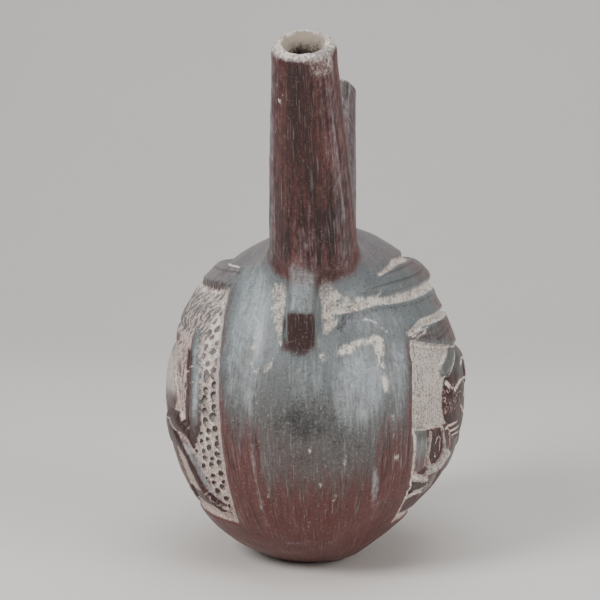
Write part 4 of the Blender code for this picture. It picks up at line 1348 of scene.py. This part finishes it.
@dataclass(frozen=True)
class Skin:
    """The bottle's one closed skin, outside and hollow."""

    form: Form = Form()
    voxel: float = 2.4 * MM
    passes: tuple[int, int] = (5, 3)
    ball_columns: int = 96
    cavity_columns: int = 64
    bore_sides: int = 64
    steps: tuple = ((2.2, 0.12, 0.30), (1.1, 0.24, 0.50), (0.56, 0.42, 0.88))
    finest_length: float = 0.8
    finest_boxes: tuple = (((-80, -17), (20, 57), (-49, 49)), ((17, 80), (16, 50), (-46, 25)))
    haze_and_sheen_share: float = 1.4
    near: float = 0.25 * MM

    def fused(self, shapes: bmesh.types.BMesh) -> bmesh.types.BMesh:
        """One even skin round closed shapes that overlap.

        Args:
            shapes: The shapes, which are used up.

        Returns:
            The fused skin.
        """
        blocks = stand_in(shapes, "blocks")
        remesh = blocks.modifiers.new("Fuse", "REMESH")
        remesh.mode = "VOXEL"
        remesh.voxel_size = self.voxel
        return applied(blocks)

    def settle_all(self, bm: bmesh.types.BMesh, times: int) -> None:
        """Even out the corners and settle them onto the form, several times.

        Args:
            bm: The mesh whose corners move.
            times: Number of rounds.
        """
        for _ in range(times):
            bmesh.ops.smooth_vert(bm, verts=bm.verts, factor=0.5, use_axis_x=True, use_axis_y=True,
                                  use_axis_z=True)
            places, _outward = self.form.settle(places_of(bm.verts))
            for vert, place in zip(bm.verts, places):
                vert.co = place

    def rough(self) -> bmesh.types.BMesh:
        """The solid outer form, level at the foot.

        Returns:
            The form as one closed mesh.
        """
        bm = bmesh.new()
        self.form.body.add_ball(bm, 0.0, self.ball_columns)
        for part in (*self.form.spouts, self.form.strap):
            part.add_bar(bm)
        self.form.lugs.add_wedges(bm)
        for times in self.passes:
            bm = self.fused(bm)
            self.settle_all(bm, times)
        bmesh.ops.bisect_plane(bm, geom=bm.verts[:] + bm.edges[:] + bm.faces[:], dist=LEVEL,
                               plane_co=(0.0, 0.0, 0.0), plane_no=(0.0, 0.0, -1.0), clear_outer=True)
        bmesh.ops.edgeloop_fill(bm, edges=[edge for edge in bm.edges if edge.is_boundary])
        return bm

    def hollowed(self, bm: bmesh.types.BMesh) -> bmesh.types.BMesh:
        """The form with its cavity and both bores cut out.

        Args:
            bm: The solid form, which is used up.

        Returns:
            The hollow form.
        """
        body = self.form.body
        cavity = bmesh.new()
        body.add_ball(cavity, body.wall, self.cavity_columns)
        for vert in cavity.verts:
            vert.co.z = max(vert.co.z, body.wall)
        for vert, tuck in zip(cavity.verts, body.drawn_in(places_of(cavity.verts))):
            vert.co.x -= float(tuck)
        skin = stand_in(bm, "skin")
        tools = [stand_in(cavity, "cavity")]
        tools += [stand_in(spout.bore(self.bore_sides), "bore") for spout in self.form.spouts]
        for tool in tools:
            cut = skin.modifiers.new(tool.name, "BOOLEAN")
            cut.operation = "DIFFERENCE"
            cut.solver = "EXACT"
            cut.object = tool
        hollow = applied(skin)
        for tool in tools:
            bpy.data.meshes.remove(tool.data)
        bmesh.ops.triangulate(hollow, faces=[face for face in hollow.faces if len(face.verts) > 4])
        return hollow

    def outer(self, verts: list) -> Array:
        """Which corners lie on the outside above the foot."""
        places = places_of(verts)
        return (np.abs(self.form.distance(places)) < self.near) & (places[:, 2] > LEVEL)

    def finest(self, places: Array) -> Array:
        """Which places lie on the front half of a panel's carving, where the finest marks are.

        Args:
            places: Places in metres.

        Returns:
            Whether each place lies there.
        """
        seen = np.stack((places[:, 0], -places[:, 1], places[:, 2] - self.form.body.centre), axis=1) / MM
        found = np.zeros(len(places), dtype=bool)
        for box in self.finest_boxes:
            low, high = np.array(box).T
            found |= np.all((seen > low) & (seen < high), axis=1)
        return found

    def varied(self, faces: list, coat: Coat, height: float, finish: float) -> Array:
        """Which faces the coat changes over.

        Args:
            faces: The faces, of three or four corners each.
            coat: The coat at each of the mesh's corners.
            height: Change of height that counts, mm.
            finish: Change of dust that counts, as a share.

        Returns:
            Whether the coat changes over each face.
        """
        corners = [[vert.index for vert in face.verts] for face in faces]
        order = np.array([found + found[-1:] * (4 - len(found)) for found in corners])
        spans = [values[order].max(axis=1) - values[order].min(axis=1)
                 for values in (coat.height, coat.finish["dust"], coat.finish["haze"] / self.haze_and_sheen_share)]
        return (spans[0] > height) | (spans[1] > finish) | (spans[2] > finish)

    def split(self, bm: bmesh.types.BMesh, length: float, height: float, finish: float) -> int:
        """Split the long faces that the coat changes over once, and settle the new corners.

        Args:
            bm: The mesh to split.
            length: Edge length that is long enough to split, mm.
            height: Change of height over a face that counts, mm.
            finish: Change of dust over a face that counts, as a share.

        Returns:
            How many faces were split.
        """
        bm.verts.index_update()
        corners = list(bm.verts)
        on = {vert for vert, keep in zip(corners, self.outer(corners)) if keep}
        faces = [face for face in bm.faces if any(vert in on for vert in face.verts)
                 and all(vert in on or vert.co.z < LEVEL for vert in face.verts)]
        longest = np.array([max(edge.calc_length() for edge in face.edges) for face in faces])
        coat, _share = Outside(self.form).coat(*self.form.settle(places_of(corners), 1))
        wanted = (longest > length * MM) & self.varied(faces, coat, height, finish)
        if length < self.finest_length:
            wanted &= self.finest(np.array([face.calc_center_median() for face in faces]))
        chosen = [face for face, keep in zip(faces, wanted) if keep]
        edges = list(dict.fromkeys(edge for face in chosen for edge in face.edges))
        bmesh.ops.subdivide_edges(bm, edges=edges, cuts=1, use_grid_fill=True)
        fresh = [vert for vert in bm.verts[len(corners):] if vert.co.z > LEVEL]
        places, _outward = self.form.settle(places_of(fresh), 2)
        for vert, place in zip(fresh, places):
            vert.co = place
        bmesh.ops.triangulate(bm, faces=[face for face in bm.faces if len(face.verts) > 4])
        return len(chosen)

    def gather(self, bm: bmesh.types.BMesh, coat: Coat) -> None:
        """Let dust gather in the relief's hollows, and rub its crests bare with a painted sheen on them.

        Args:
            bm: The skin, whose edges join neighbouring points.
            coat: The coat that changes.
        """
        ends = np.array([(edge.verts[0].index, edge.verts[1].index) for edge in bm.edges])
        count = np.maximum(np.bincount(ends.ravel(), minlength=len(coat.height)), 1)
        around = coat.height
        for _ in range(2):
            total = np.bincount(ends[:, 0], around[ends[:, 1]], len(count))
            around = (total + np.bincount(ends[:, 1], around[ends[:, 0]], len(count))) / count
        hollow = np.clip((around - coat.height - 0.03) * 3.5, 0.0, 1.0)
        crest = np.clip((coat.height - around - 0.03) * 3.0, 0.0, 1.0)
        dusty = np.clip(coat.finish["dust"] * 1.6 - 0.3, 0.0, 1.0)
        coat.lay(hollow * 0.6 * dusty, dust=0.95, stain=0.0)
        # Crests rubbed bare, with a painted sheen on them.
        coat.lay(crest * (0.25 + 0.4 * dusty), dust=0.25, haze=0.5)

    def build(self) -> tuple[bmesh.types.BMesh, Coat, Array, Array, Array]:
        """Model the whole skin.

        Returns:
            The mesh, and for each corner its coat, spout share, grain place and whether it is outside.
        """
        bm = self.hollowed(self.rough())
        for step in self.steps:
            bm.verts.ensure_lookup_table()
            LOG.info("split %d faces", self.split(bm, *step))
        bm.verts.ensure_lookup_table()
        keep = self.outer(bm.verts)
        places, outward = self.form.settle(places_of(bm.verts), 1)
        outside = Outside(self.form)
        coat, share = outside.coat(places, outward)
        bm.verts.index_update()
        self.gather(bm, coat)
        flow = outside.flow(places, share)
        lifted = places + outward * coat.height[:, None] * MM
        lifted[:, 2] = np.maximum(lifted[:, 2], 0.0)
        for vert, place, moves in zip(bm.verts, lifted, keep):
            if moves:
                vert.co = place
        bmesh.ops.triangulate(bm, faces=bm.faces)
        LOG.info("the skin has %d triangles", len(bm.faces))
        return bm, coat, share, flow, keep


def places_of(verts: object) -> Array:
    """The places of corners as an array."""
    return np.array([vert.co for vert in verts], dtype=float).reshape(-1, 3)


def stand_in(bm: bmesh.types.BMesh, name: str) -> bpy.types.Object:
    """An object that holds a bmesh while a modifier works on it.

    Args:
        bm: The mesh, which is used up.
        name: Name of the object.

    Returns:
        The object, linked to the scene.
    """
    mesh = bpy.data.meshes.new(name)
    bm.to_mesh(mesh)
    bm.free()
    made = bpy.data.objects.new(name, mesh)
    bpy.context.scene.collection.objects.link(made)
    return made


def applied(source: bpy.types.Object) -> bmesh.types.BMesh:
    """The object's mesh with its modifiers applied; the object goes.

    Args:
        source: The object, which is removed.

    Returns:
        Its finished mesh.
    """
    graph = bpy.context.evaluated_depsgraph_get()
    mesh = bpy.data.meshes.new_from_object(source.evaluated_get(graph))
    bm = bmesh.new()
    bm.from_mesh(mesh)
    bpy.data.meshes.remove(source.data)
    bpy.data.meshes.remove(mesh)
    return bm


# ---------------------------------------------------------------- materials

def operator(operation: str, swapped: bool = False) -> Callable[["Wire", "Wire | float"], "Wire"]:
    """The method of a wire that adds one Math node.

    Args:
        operation: What the node works out.
        swapped: Whether the wire is the second value, after a number.

    Returns:
        The method.
    """
    def method(wire: "Wire", other: "Wire | float") -> "Wire":
        """The wire and another value, put through the node."""
        return wire.bench.sum_up(operation, *((other, wire) if swapped else (wire, other)))
    return method


class Wire:
    """A number or colour travelling through a material, on which sums add Math nodes."""

    def __init__(self, bench: "Bench", socket: bpy.types.NodeSocket) -> None:
        """Hold one output of a node."""
        self.bench = bench
        self.socket = socket

    __add__ = operator("ADD")
    __radd__ = operator("ADD", True)
    __sub__ = operator("SUBTRACT")
    __rsub__ = operator("SUBTRACT", True)
    __mul__ = operator("MULTIPLY")
    __rmul__ = operator("MULTIPLY", True)


class Bench:
    """The node tree of one material, and the one place where its nodes are made."""

    def __init__(self, name: str) -> None:
        """Start a material with its shader."""
        self.material = bpy.data.materials.new(name)
        self.material.use_nodes = True
        self.tree = self.material.node_tree
        self.shader = self.tree.nodes["Principled BSDF"]

    def node(self, kind: str, settings: dict | None = None, sockets: dict | None = None,
             output: int | str = 0) -> Wire:
        """Make a node.

        Args:
            kind: The node's type.
            settings: Its settings, set first.
            sockets: Values or wires of its inputs, by name or number.
            output: Which output to give.

        Returns:
            The output as a wire.
        """
        made = self.tree.nodes.new(kind)
        for name, value in (settings or {}).items():
            setattr(made, name, value)
        for name, value in (sockets or {}).items():
            self.feed(made.inputs[name], value)
        return Wire(self, made.outputs[output])

    def feed(self, socket: bpy.types.NodeSocket, value: object) -> None:
        """Give a socket a value or a wire.

        Args:
            socket: The socket.
            value: What it gets.
        """
        if isinstance(value, Wire):
            self.tree.links.new(value.socket, socket)
        else:
            socket.default_value = value

    def sum_up(self, operation: str, first: object, second: object) -> Wire:
        """One Math node on two values."""
        return self.node("ShaderNodeMath", {"operation": operation}, {0: first, 1: second})

    def trait(self, trait: Trait, vector: bool = False) -> Wire:
        """A trait that the skin's corners carry."""
        return self.node("ShaderNodeAttribute", {"attribute_name": trait.value},
                         output="Vector" if vector else "Fac")

    def ease(self, value: Wire, low: float, high: float) -> Wire:
        """A smooth step of a value.

        Args:
            value: The value.
            low: Where the step starts.
            high: Where it ends.

        Returns:
            0 below low, 1 above high and smooth between.
        """
        return self.node("ShaderNodeMapRange", {"interpolation_type": "SMOOTHSTEP"},
                         {"Value": value, "From Min": low, "From Max": high})

    def noise(self, place: Wire, scale: float, detail: float = 3.0, rough: float = 0.55) -> Wire:
        """Soft noise from 0 to 1.

        Args:
            place: Where it is read.
            scale: Waves to the metre.
            detail: Number of finer layers.
            rough: Strength of the finer layers.

        Returns:
            The noise.
        """
        return self.node("ShaderNodeTexNoise", None,
                         {"Vector": place, "Scale": scale, "Detail": detail, "Roughness": rough})

    def spots(self, place: Wire, scale: float) -> Wire:
        """Distance to scattered points, in cell widths."""
        return self.node("ShaderNodeTexVoronoi", None, {"Vector": place, "Scale": scale})

    def stretched(self, place: Wire, scale: tuple[float, float, float]) -> Wire:
        """A place with each axis scaled."""
        return self.node("ShaderNodeVectorMath", {"operation": "MULTIPLY"}, {0: place, 1: scale})

    def paint(self, under: object, over: object, share: object) -> Wire:
        """One colour laid over another.

        Args:
            under: Colour below.
            over: Colour laid on.
            share: How much of it shows.

        Returns:
            The mixed colour.
        """
        return self.node("ShaderNodeMix", {"data_type": "RGBA"}, {0: share, 6: under, 7: over}, 2)

    def layers(self, colour: object, *laid: tuple) -> Wire:
        """Colours laid over another in turn.

        Args:
            colour: Colour below them all.
            laid: Each colour laid on, with how much of it shows.

        Returns:
            The mixed colour.
        """
        for over, share in laid:
            colour = self.paint(colour, over, share)
        return colour

    def bump(self, height: Wire, depth: float, strength: float, normal: Wire | None = None) -> Wire:
        """A bump over an earlier one.

        Args:
            height: Height from 0 to 1.
            depth: Its depth in metres.
            strength: Its strength.
            normal: The earlier bump.

        Returns:
            The normal.
        """
        sockets = {"Strength": strength, "Distance": depth, "Height": height}
        if normal is not None:
            sockets["Normal"] = normal
        return self.node("ShaderNodeBump", None, sockets)


def tint(red: int, green: int, blue: int) -> tuple[float, float, float, float]:
    """A colour from its display values.

    Args:
        red: Red from 0 to 255.
        green: Green from 0 to 255.
        blue: Blue from 0 to 255.

    Returns:
        The linear colour.
    """
    shares = [value / 255.0 for value in (red, green, blue)]
    linear = (share / 12.92 if share <= 0.04045 else ((share + 0.055) / 1.055) ** 2.4 for share in shares)
    return (*linear, 1.0)


@dataclass(frozen=True)
class Blackware:
    """Burnished black clay, greyed partly by handling and partly by painted sheen, with pale burial dust and
    crust left in its hollows.
    """

    # Upper, middle and lower colour the body by height: the bluish grey above is painted light from above,
    # and the reddish brown below is partly a painted reflection; warm, laid where the corners carry it, is
    # partly that painted reflection too.
    upper: tuple = tint(104, 111, 113)
    middle: tuple = tint(90, 90, 89)
    lower: tuple = tint(80, 52, 48)
    warm: tuple = tint(94, 46, 43)
    spout_pale: tuple = tint(100, 54, 52)
    spout_dark: tuple = tint(36, 16, 15)
    burnish: tuple = tint(98, 99, 95)
    # Pale bluish grey of haziness, painted sheen and painted highlights.
    haze: tuple = tint(176, 184, 188)
    # Dark red-brown of real staining and of painted shade.
    stain: tuple = tint(40, 15, 14)
    dust: tuple = tint(203, 196, 188)
    dust_warm: tuple = tint(192, 160, 152)
    dust_dark: tuple = tint(132, 120, 114)
    cream: tuple = tint(220, 212, 198)
    soot: tuple = tint(30, 28, 29)
    grit_dark: tuple = tint(54, 48, 48)
    grit_pale: tuple = tint(184, 180, 175)
    inside: tuple = tint(158, 146, 132)
    inside_dark: tuple = tint(34, 26, 22)

    def material(self) -> bpy.types.Material:
        """Make the clay's material.

        Returns:
            The material.
        """
        bench = Bench("burnished_blackware")
        ease, noise = bench.ease, bench.noise
        place = bench.node("ShaderNodeTexCoord", output="Object")
        grain = bench.trait(Trait.GRAIN, True)
        dust, cream, gloss, haze, soot, warm, stain, lines = (bench.trait(trait) for trait in FINISHES)
        across, spout, hollow = (bench.trait(trait) for trait in (Trait.ACROSS, Trait.SPOUT, Trait.HOLLOW))
        height = bench.node("ShaderNodeSeparateXYZ", None, {0: place}, 2)
        cloud = noise(place, 38.0, 4.0, 0.6) - 0.5
        mottle = noise(place, 260.0, 4.0, 0.65) - 0.5
        speck = noise(place, 1250.0, 2.0, 0.6) - 0.5
        dash = noise(bench.stretched(place, (1.0, 1.0, 0.2)), 900.0, 3.0, 0.6) - 0.5
        streak = noise(grain, 620.0, 4.0, 0.6) - 0.5
        fine_streak = noise(grain, 1900.0, 2.0, 0.5) - 0.5
        against = 0.0 - fine_streak

        level = height + cloud * 0.05
        neck = ease(streak + dash * 0.6 + cloud * 0.8, -0.25, 0.25)
        neck = bench.paint(self.spout_dark, self.spout_pale, neck)
        # Grey haziness and painted sheen.
        sheen_film = ease(haze + mottle * 0.45 + dash * 0.6 + streak * 0.8, 0.12, 1.0)
        black = ease(speck * 0.7 + mottle * 0.8 + streak * 0.5 + soot * 0.5, 0.16, 0.66)
        black = black * (soot * 0.62 + 0.14)
        pale_dash = ease(dash + mottle * 0.4, 0.20, 0.30) * ease(cloud, -0.06, 0.10)
        chip = ease(1.0 - bench.spots(bench.stretched(place, (1.0, 1.0, 0.5)), 210.0), 0.86, 0.93)
        chip = chip * ease(mottle - spout * 0.03, 0.13, 0.2)
        # From lower to upper by height: painted light, darker and reddish near the foot and bluish grey
        # above.
        clay = bench.layers(
            self.lower,
            (self.middle, ease(level, 0.022, 0.066)),
            (self.upper, ease(level, 0.06, 0.105)),
            (self.warm, ease(warm + streak * 1.5 + dash * 0.8, 0.25, 0.95) * 0.85),
            (neck, ease(spout + mottle * 0.9 + streak * 0.7, 0.3, 0.7)),
            (self.burnish, gloss * (0.6 + mottle * 0.7)),
            (self.stain, ease(stain + mottle * 0.5 + streak * 0.3, 0.05, 1.0) * 0.9),
            (self.haze, sheen_film * 0.8),
            (self.spout_dark, ease(fine_streak, 0.03, 0.2) * (0.2 + warm * 0.4)),
            (self.grit_pale, ease(against - streak * 0.4, 0.07, 0.3) * 0.24),
            (self.grit_dark, ease(speck, 0.03, 0.22) * 0.5),
            (self.grit_pale, ease(0.0 - speck, 0.08, 0.26) * (0.24 - spout * 0.08)),
            (self.soot, black),
            (self.cream, pale_dash * 0.3 + chip * 0.45))

        track = bench.node("ShaderNodeCombineXYZ", None, {0: across, 1: height * 28.0})
        scrape = (noise(track, 1.0, 3.0, 0.6) - 0.5) * lines
        powder = ease(dust + mottle * 0.3 + speck * 0.45 + fine_streak * 0.3, 0.22, 0.72)
        pale_dust = bench.paint(self.dust, self.dust_warm, warm * (0.9 + mottle))
        pale_dust = bench.paint(self.dust_dark, pale_dust,
                                ease(speck + mottle * 0.35 + fine_streak * 0.6, -0.20, 0.10))
        crumble = (mottle * 1.1 + speck * 0.9 + dash * 0.9) * (cream + 0.44)
        crust = ease(cream + crumble, 0.34, 0.78)
        deep = bench.paint(self.inside_dark, self.inside, ease(dust + mottle * 1.1 + speck * 0.9, 0.12, 0.95))
        clay = bench.layers(
            clay,
            (self.dust, ease(0.0 - scrape, 0.05, 0.24) * 0.3),
            (self.stain, ease(scrape, 0.01, 0.14) * 0.7),
            (pale_dust, powder * 0.93),
            (self.cream, crust * 0.85),
            (deep, hollow))

        dull = bench.node("ShaderNodeMath", {"operation": "MAXIMUM"}, {0: powder, 1: crust})
        rough = 0.42 + 0.14 * streak + 0.16 * mottle - 0.06 * gloss + dull * 0.42 + hollow * 0.35
        normal = bench.bump(streak, 0.35 * MM, 0.30)
        normal = bench.bump(fine_streak, 0.15 * MM, 0.22, normal)
        normal = bench.bump(mottle * 0.6 + speck * 0.4 + dull * 0.5, 0.25 * MM, 0.35, normal)
        normal = bench.bump(scrape, 0.4 * MM, 0.4, normal)
        for name, value in (("Base Color", clay), ("Roughness", rough), ("Normal", normal),
                            ("Specular IOR Level", 0.38)):
            bench.feed(bench.shader.inputs[name], value)
        return bench.material


@dataclass(frozen=True)
class Bottle:
    """The whole bottle: one skin in one clay."""

    skin: Skin = Skin()
    clay: Blackware = Blackware()
    mouth_reach: float = 20.0 * MM
    dusty_depth: float = 4.0
    dusty_edge: float = 8.0

    def mouths(self, places: Array) -> Array:
        """How dusty the inside is near a spout's mouth.

        Args:
            places: Places in metres.

        Returns:
            How far each place lies in a spout's pale mouth, from 0 to 1.
        """
        dusty = np.zeros(len(places))
        for spout in self.skin.form.spouts:
            down = (spout.length - spout.measured(places)[0]) / MM
            near = np.linalg.norm(places - np.array(spout.rim), axis=1) < self.mouth_reach
            dusty = np.maximum(dusty, within(down - self.dusty_depth, self.dusty_edge) * near)
        return dusty

    def build(self) -> bpy.types.Object:
        """Model and dress the bottle.

        Returns:
            Its object.
        """
        bm, coat, share, flow, outer = self.skin.build()
        bottle = stand_in(bm, "bottle_skin")
        mesh = bottle.data
        places = places_of(mesh.vertices)
        traits = {name: np.where(outer, values, 0.0) for name, values in coat.finish.items()}
        traits[Trait.DUST.value] = np.where(outer, traits[Trait.DUST.value], self.mouths(places))
        traits[Trait.ACROSS.value] = coat.across
        traits[Trait.SPOUT.value] = np.where(outer, share, 0.0)
        traits[Trait.HOLLOW.value] = ~(outer | (places[:, 2] < LEVEL))
        for name, values in traits.items():
            made = mesh.attributes.new(name, "FLOAT", "POINT")
            made.data.foreach_set("value", values.astype(np.float32))
        grain = mesh.attributes.new(Trait.GRAIN.value, "FLOAT_VECTOR", "POINT")
        grain.data.foreach_set("vector", flow.astype(np.float32).ravel())
        mesh.shade_smooth()
        mesh.materials.append(self.clay.material())
        return bottle


# ---------------------------------------------------------------- studio

@dataclass(frozen=True)
class Studio:
    """A pale swept floor, soft light from above and the left, and the camera."""

    azimuth: float = math.radians(4.2)
    elevation: float = math.radians(9.6)
    distance: float = 560.0 * MM
    lens: float = 84.0
    sideways: float = -6.4 * MM
    raised: float = 36.4 * MM
    floor: tuple = tint(226, 222, 217)
    floor_half: float = 2.5
    floor_shift: float = -1.0
    wall_height: float = 2.6
    bend: float = 0.9
    surround: tuple = (0.9, 0.93, 1.0, 1.0)
    surround_strength: float = 0.3
    aim_height: float = 80.0 * MM
    lights: tuple = (("window_left", (-0.9, -0.9, 1.0), 0.7, 20.0, (1.0, 0.99, 0.97)),
                     ("ceiling", (0.1, -0.2, 1.5), 1.2, 10.0, (0.97, 0.99, 1.0)),
                     ("fill_right", (1.1, -0.7, 0.6), 0.9, 10.0, (1.0, 0.97, 0.95)))

    def lay_floor(self) -> bpy.types.Object:
        """The floor, curved up far behind the bottle.

        Returns:
            Its object.
        """
        bm = bmesh.new()
        bmesh.ops.create_grid(bm, x_segments=1, y_segments=1, size=self.floor_half)
        far = [edge for edge in bm.edges if all(vert.co.y > 0.0 for vert in edge.verts)]
        raised = bmesh.ops.extrude_edge_only(bm, edges=far)
        for vert in (item for item in raised["geom"] if isinstance(item, bmesh.types.BMVert)):
            vert.co.z += self.wall_height
        bmesh.ops.translate(bm, verts=[vert for vert in bm.verts if vert.co.y > 0.0],
                            vec=(0.0, self.floor_shift, 0.0))
        bmesh.ops.bevel(bm, geom=[edge for edge in bm.edges if not edge.is_boundary], affect="EDGES",
                        offset=self.bend, segments=24, profile=0.5, material=-1)
        bmesh.ops.recalc_face_normals(bm, faces=bm.faces)
        floor = stand_in(bm, "studio_floor")
        floor.data.shade_smooth()
        bench = Bench("plain_pale_floor")
        place = bench.node("ShaderNodeTexCoord", output="Object")
        shade = (*(value * 0.94 for value in self.floor[:3]), 1.0)
        bench.feed(bench.shader.inputs["Base Color"], bench.paint(self.floor, shade, bench.noise(place, 3.0)))
        bench.shader.inputs["Roughness"].default_value = 0.8
        floor.data.materials.append(bench.material)
        return floor

    def hang_light(self, name: str, place: tuple, size: float, power: float, colour: tuple) -> None:
        """Hang one large soft light, aimed at the bottle's body.

        Args:
            name: Name of the light.
            place: Where it hangs.
            size: Its width in metres.
            power: Its power in watts.
            colour: Its colour.
        """
        light = bpy.data.lights.new(name, "AREA")
        light.shape = "DISK"
        light.size = size
        light.energy = power
        light.color = colour
        made = bpy.data.objects.new(name, light)
        way = Vector((0.0, 0.0, self.aim_height)) - Vector(place)
        made.matrix_world = Matrix.Translation(place) @ way.to_track_quat("-Z", "Y").to_matrix().to_4x4()
        bpy.context.scene.collection.objects.link(made)

    def light(self) -> None:
        """A pale surround and the soft lights."""
        world = bpy.data.worlds.new("soft_surround")
        world.use_nodes = True
        background = world.node_tree.nodes["Background"]
        background.inputs["Color"].default_value = self.surround
        background.inputs["Strength"].default_value = self.surround_strength
        bpy.context.scene.world = world
        for light in self.lights:
            self.hang_light(*light)

    def set_camera(self, centre: Vector) -> None:
        """Put the camera where it sees the bottle from the front, a little above.

        Args:
            centre: Middle of the bottle's body.
        """
        lens = bpy.data.cameras.new("camera")
        lens.lens = self.lens
        lens.sensor_width = 36.0
        lens.clip_start = 0.01
        camera = bpy.data.objects.new("camera", lens)
        away = Vector((math.sin(self.azimuth) * math.cos(self.elevation),
                       -math.cos(self.azimuth) * math.cos(self.elevation), math.sin(self.elevation)))
        place = centre + away * self.distance
        right = Vector((0.0, 0.0, 1.0)).cross(away).normalized()
        aim = centre + right * self.sideways + away.cross(right) * self.raised
        camera.matrix_world = (Matrix.Translation(place)
                               @ (aim - place).to_track_quat("-Z", "Y").to_matrix().to_4x4())
        bpy.context.scene.collection.objects.link(camera)
        bpy.context.scene.camera = camera


def main() -> None:
    """Build the bottle and its studio."""
    logging.basicConfig(level=logging.INFO, format="%(name)s: %(message)s")
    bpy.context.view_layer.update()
    studio = Studio()
    studio.set_camera(Vector((0.0, 0.0, Body().centre)))
    studio.light()
    LOG.info("studio: %s", studio.lay_floor().name)
    bottle = Bottle().build()
    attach(bottle, BODY)
    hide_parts(NODE)
    LOG.info("%s: %d triangles", bottle.name, len(bottle.data.polygons))


if __name__ == "__main__":
    main()
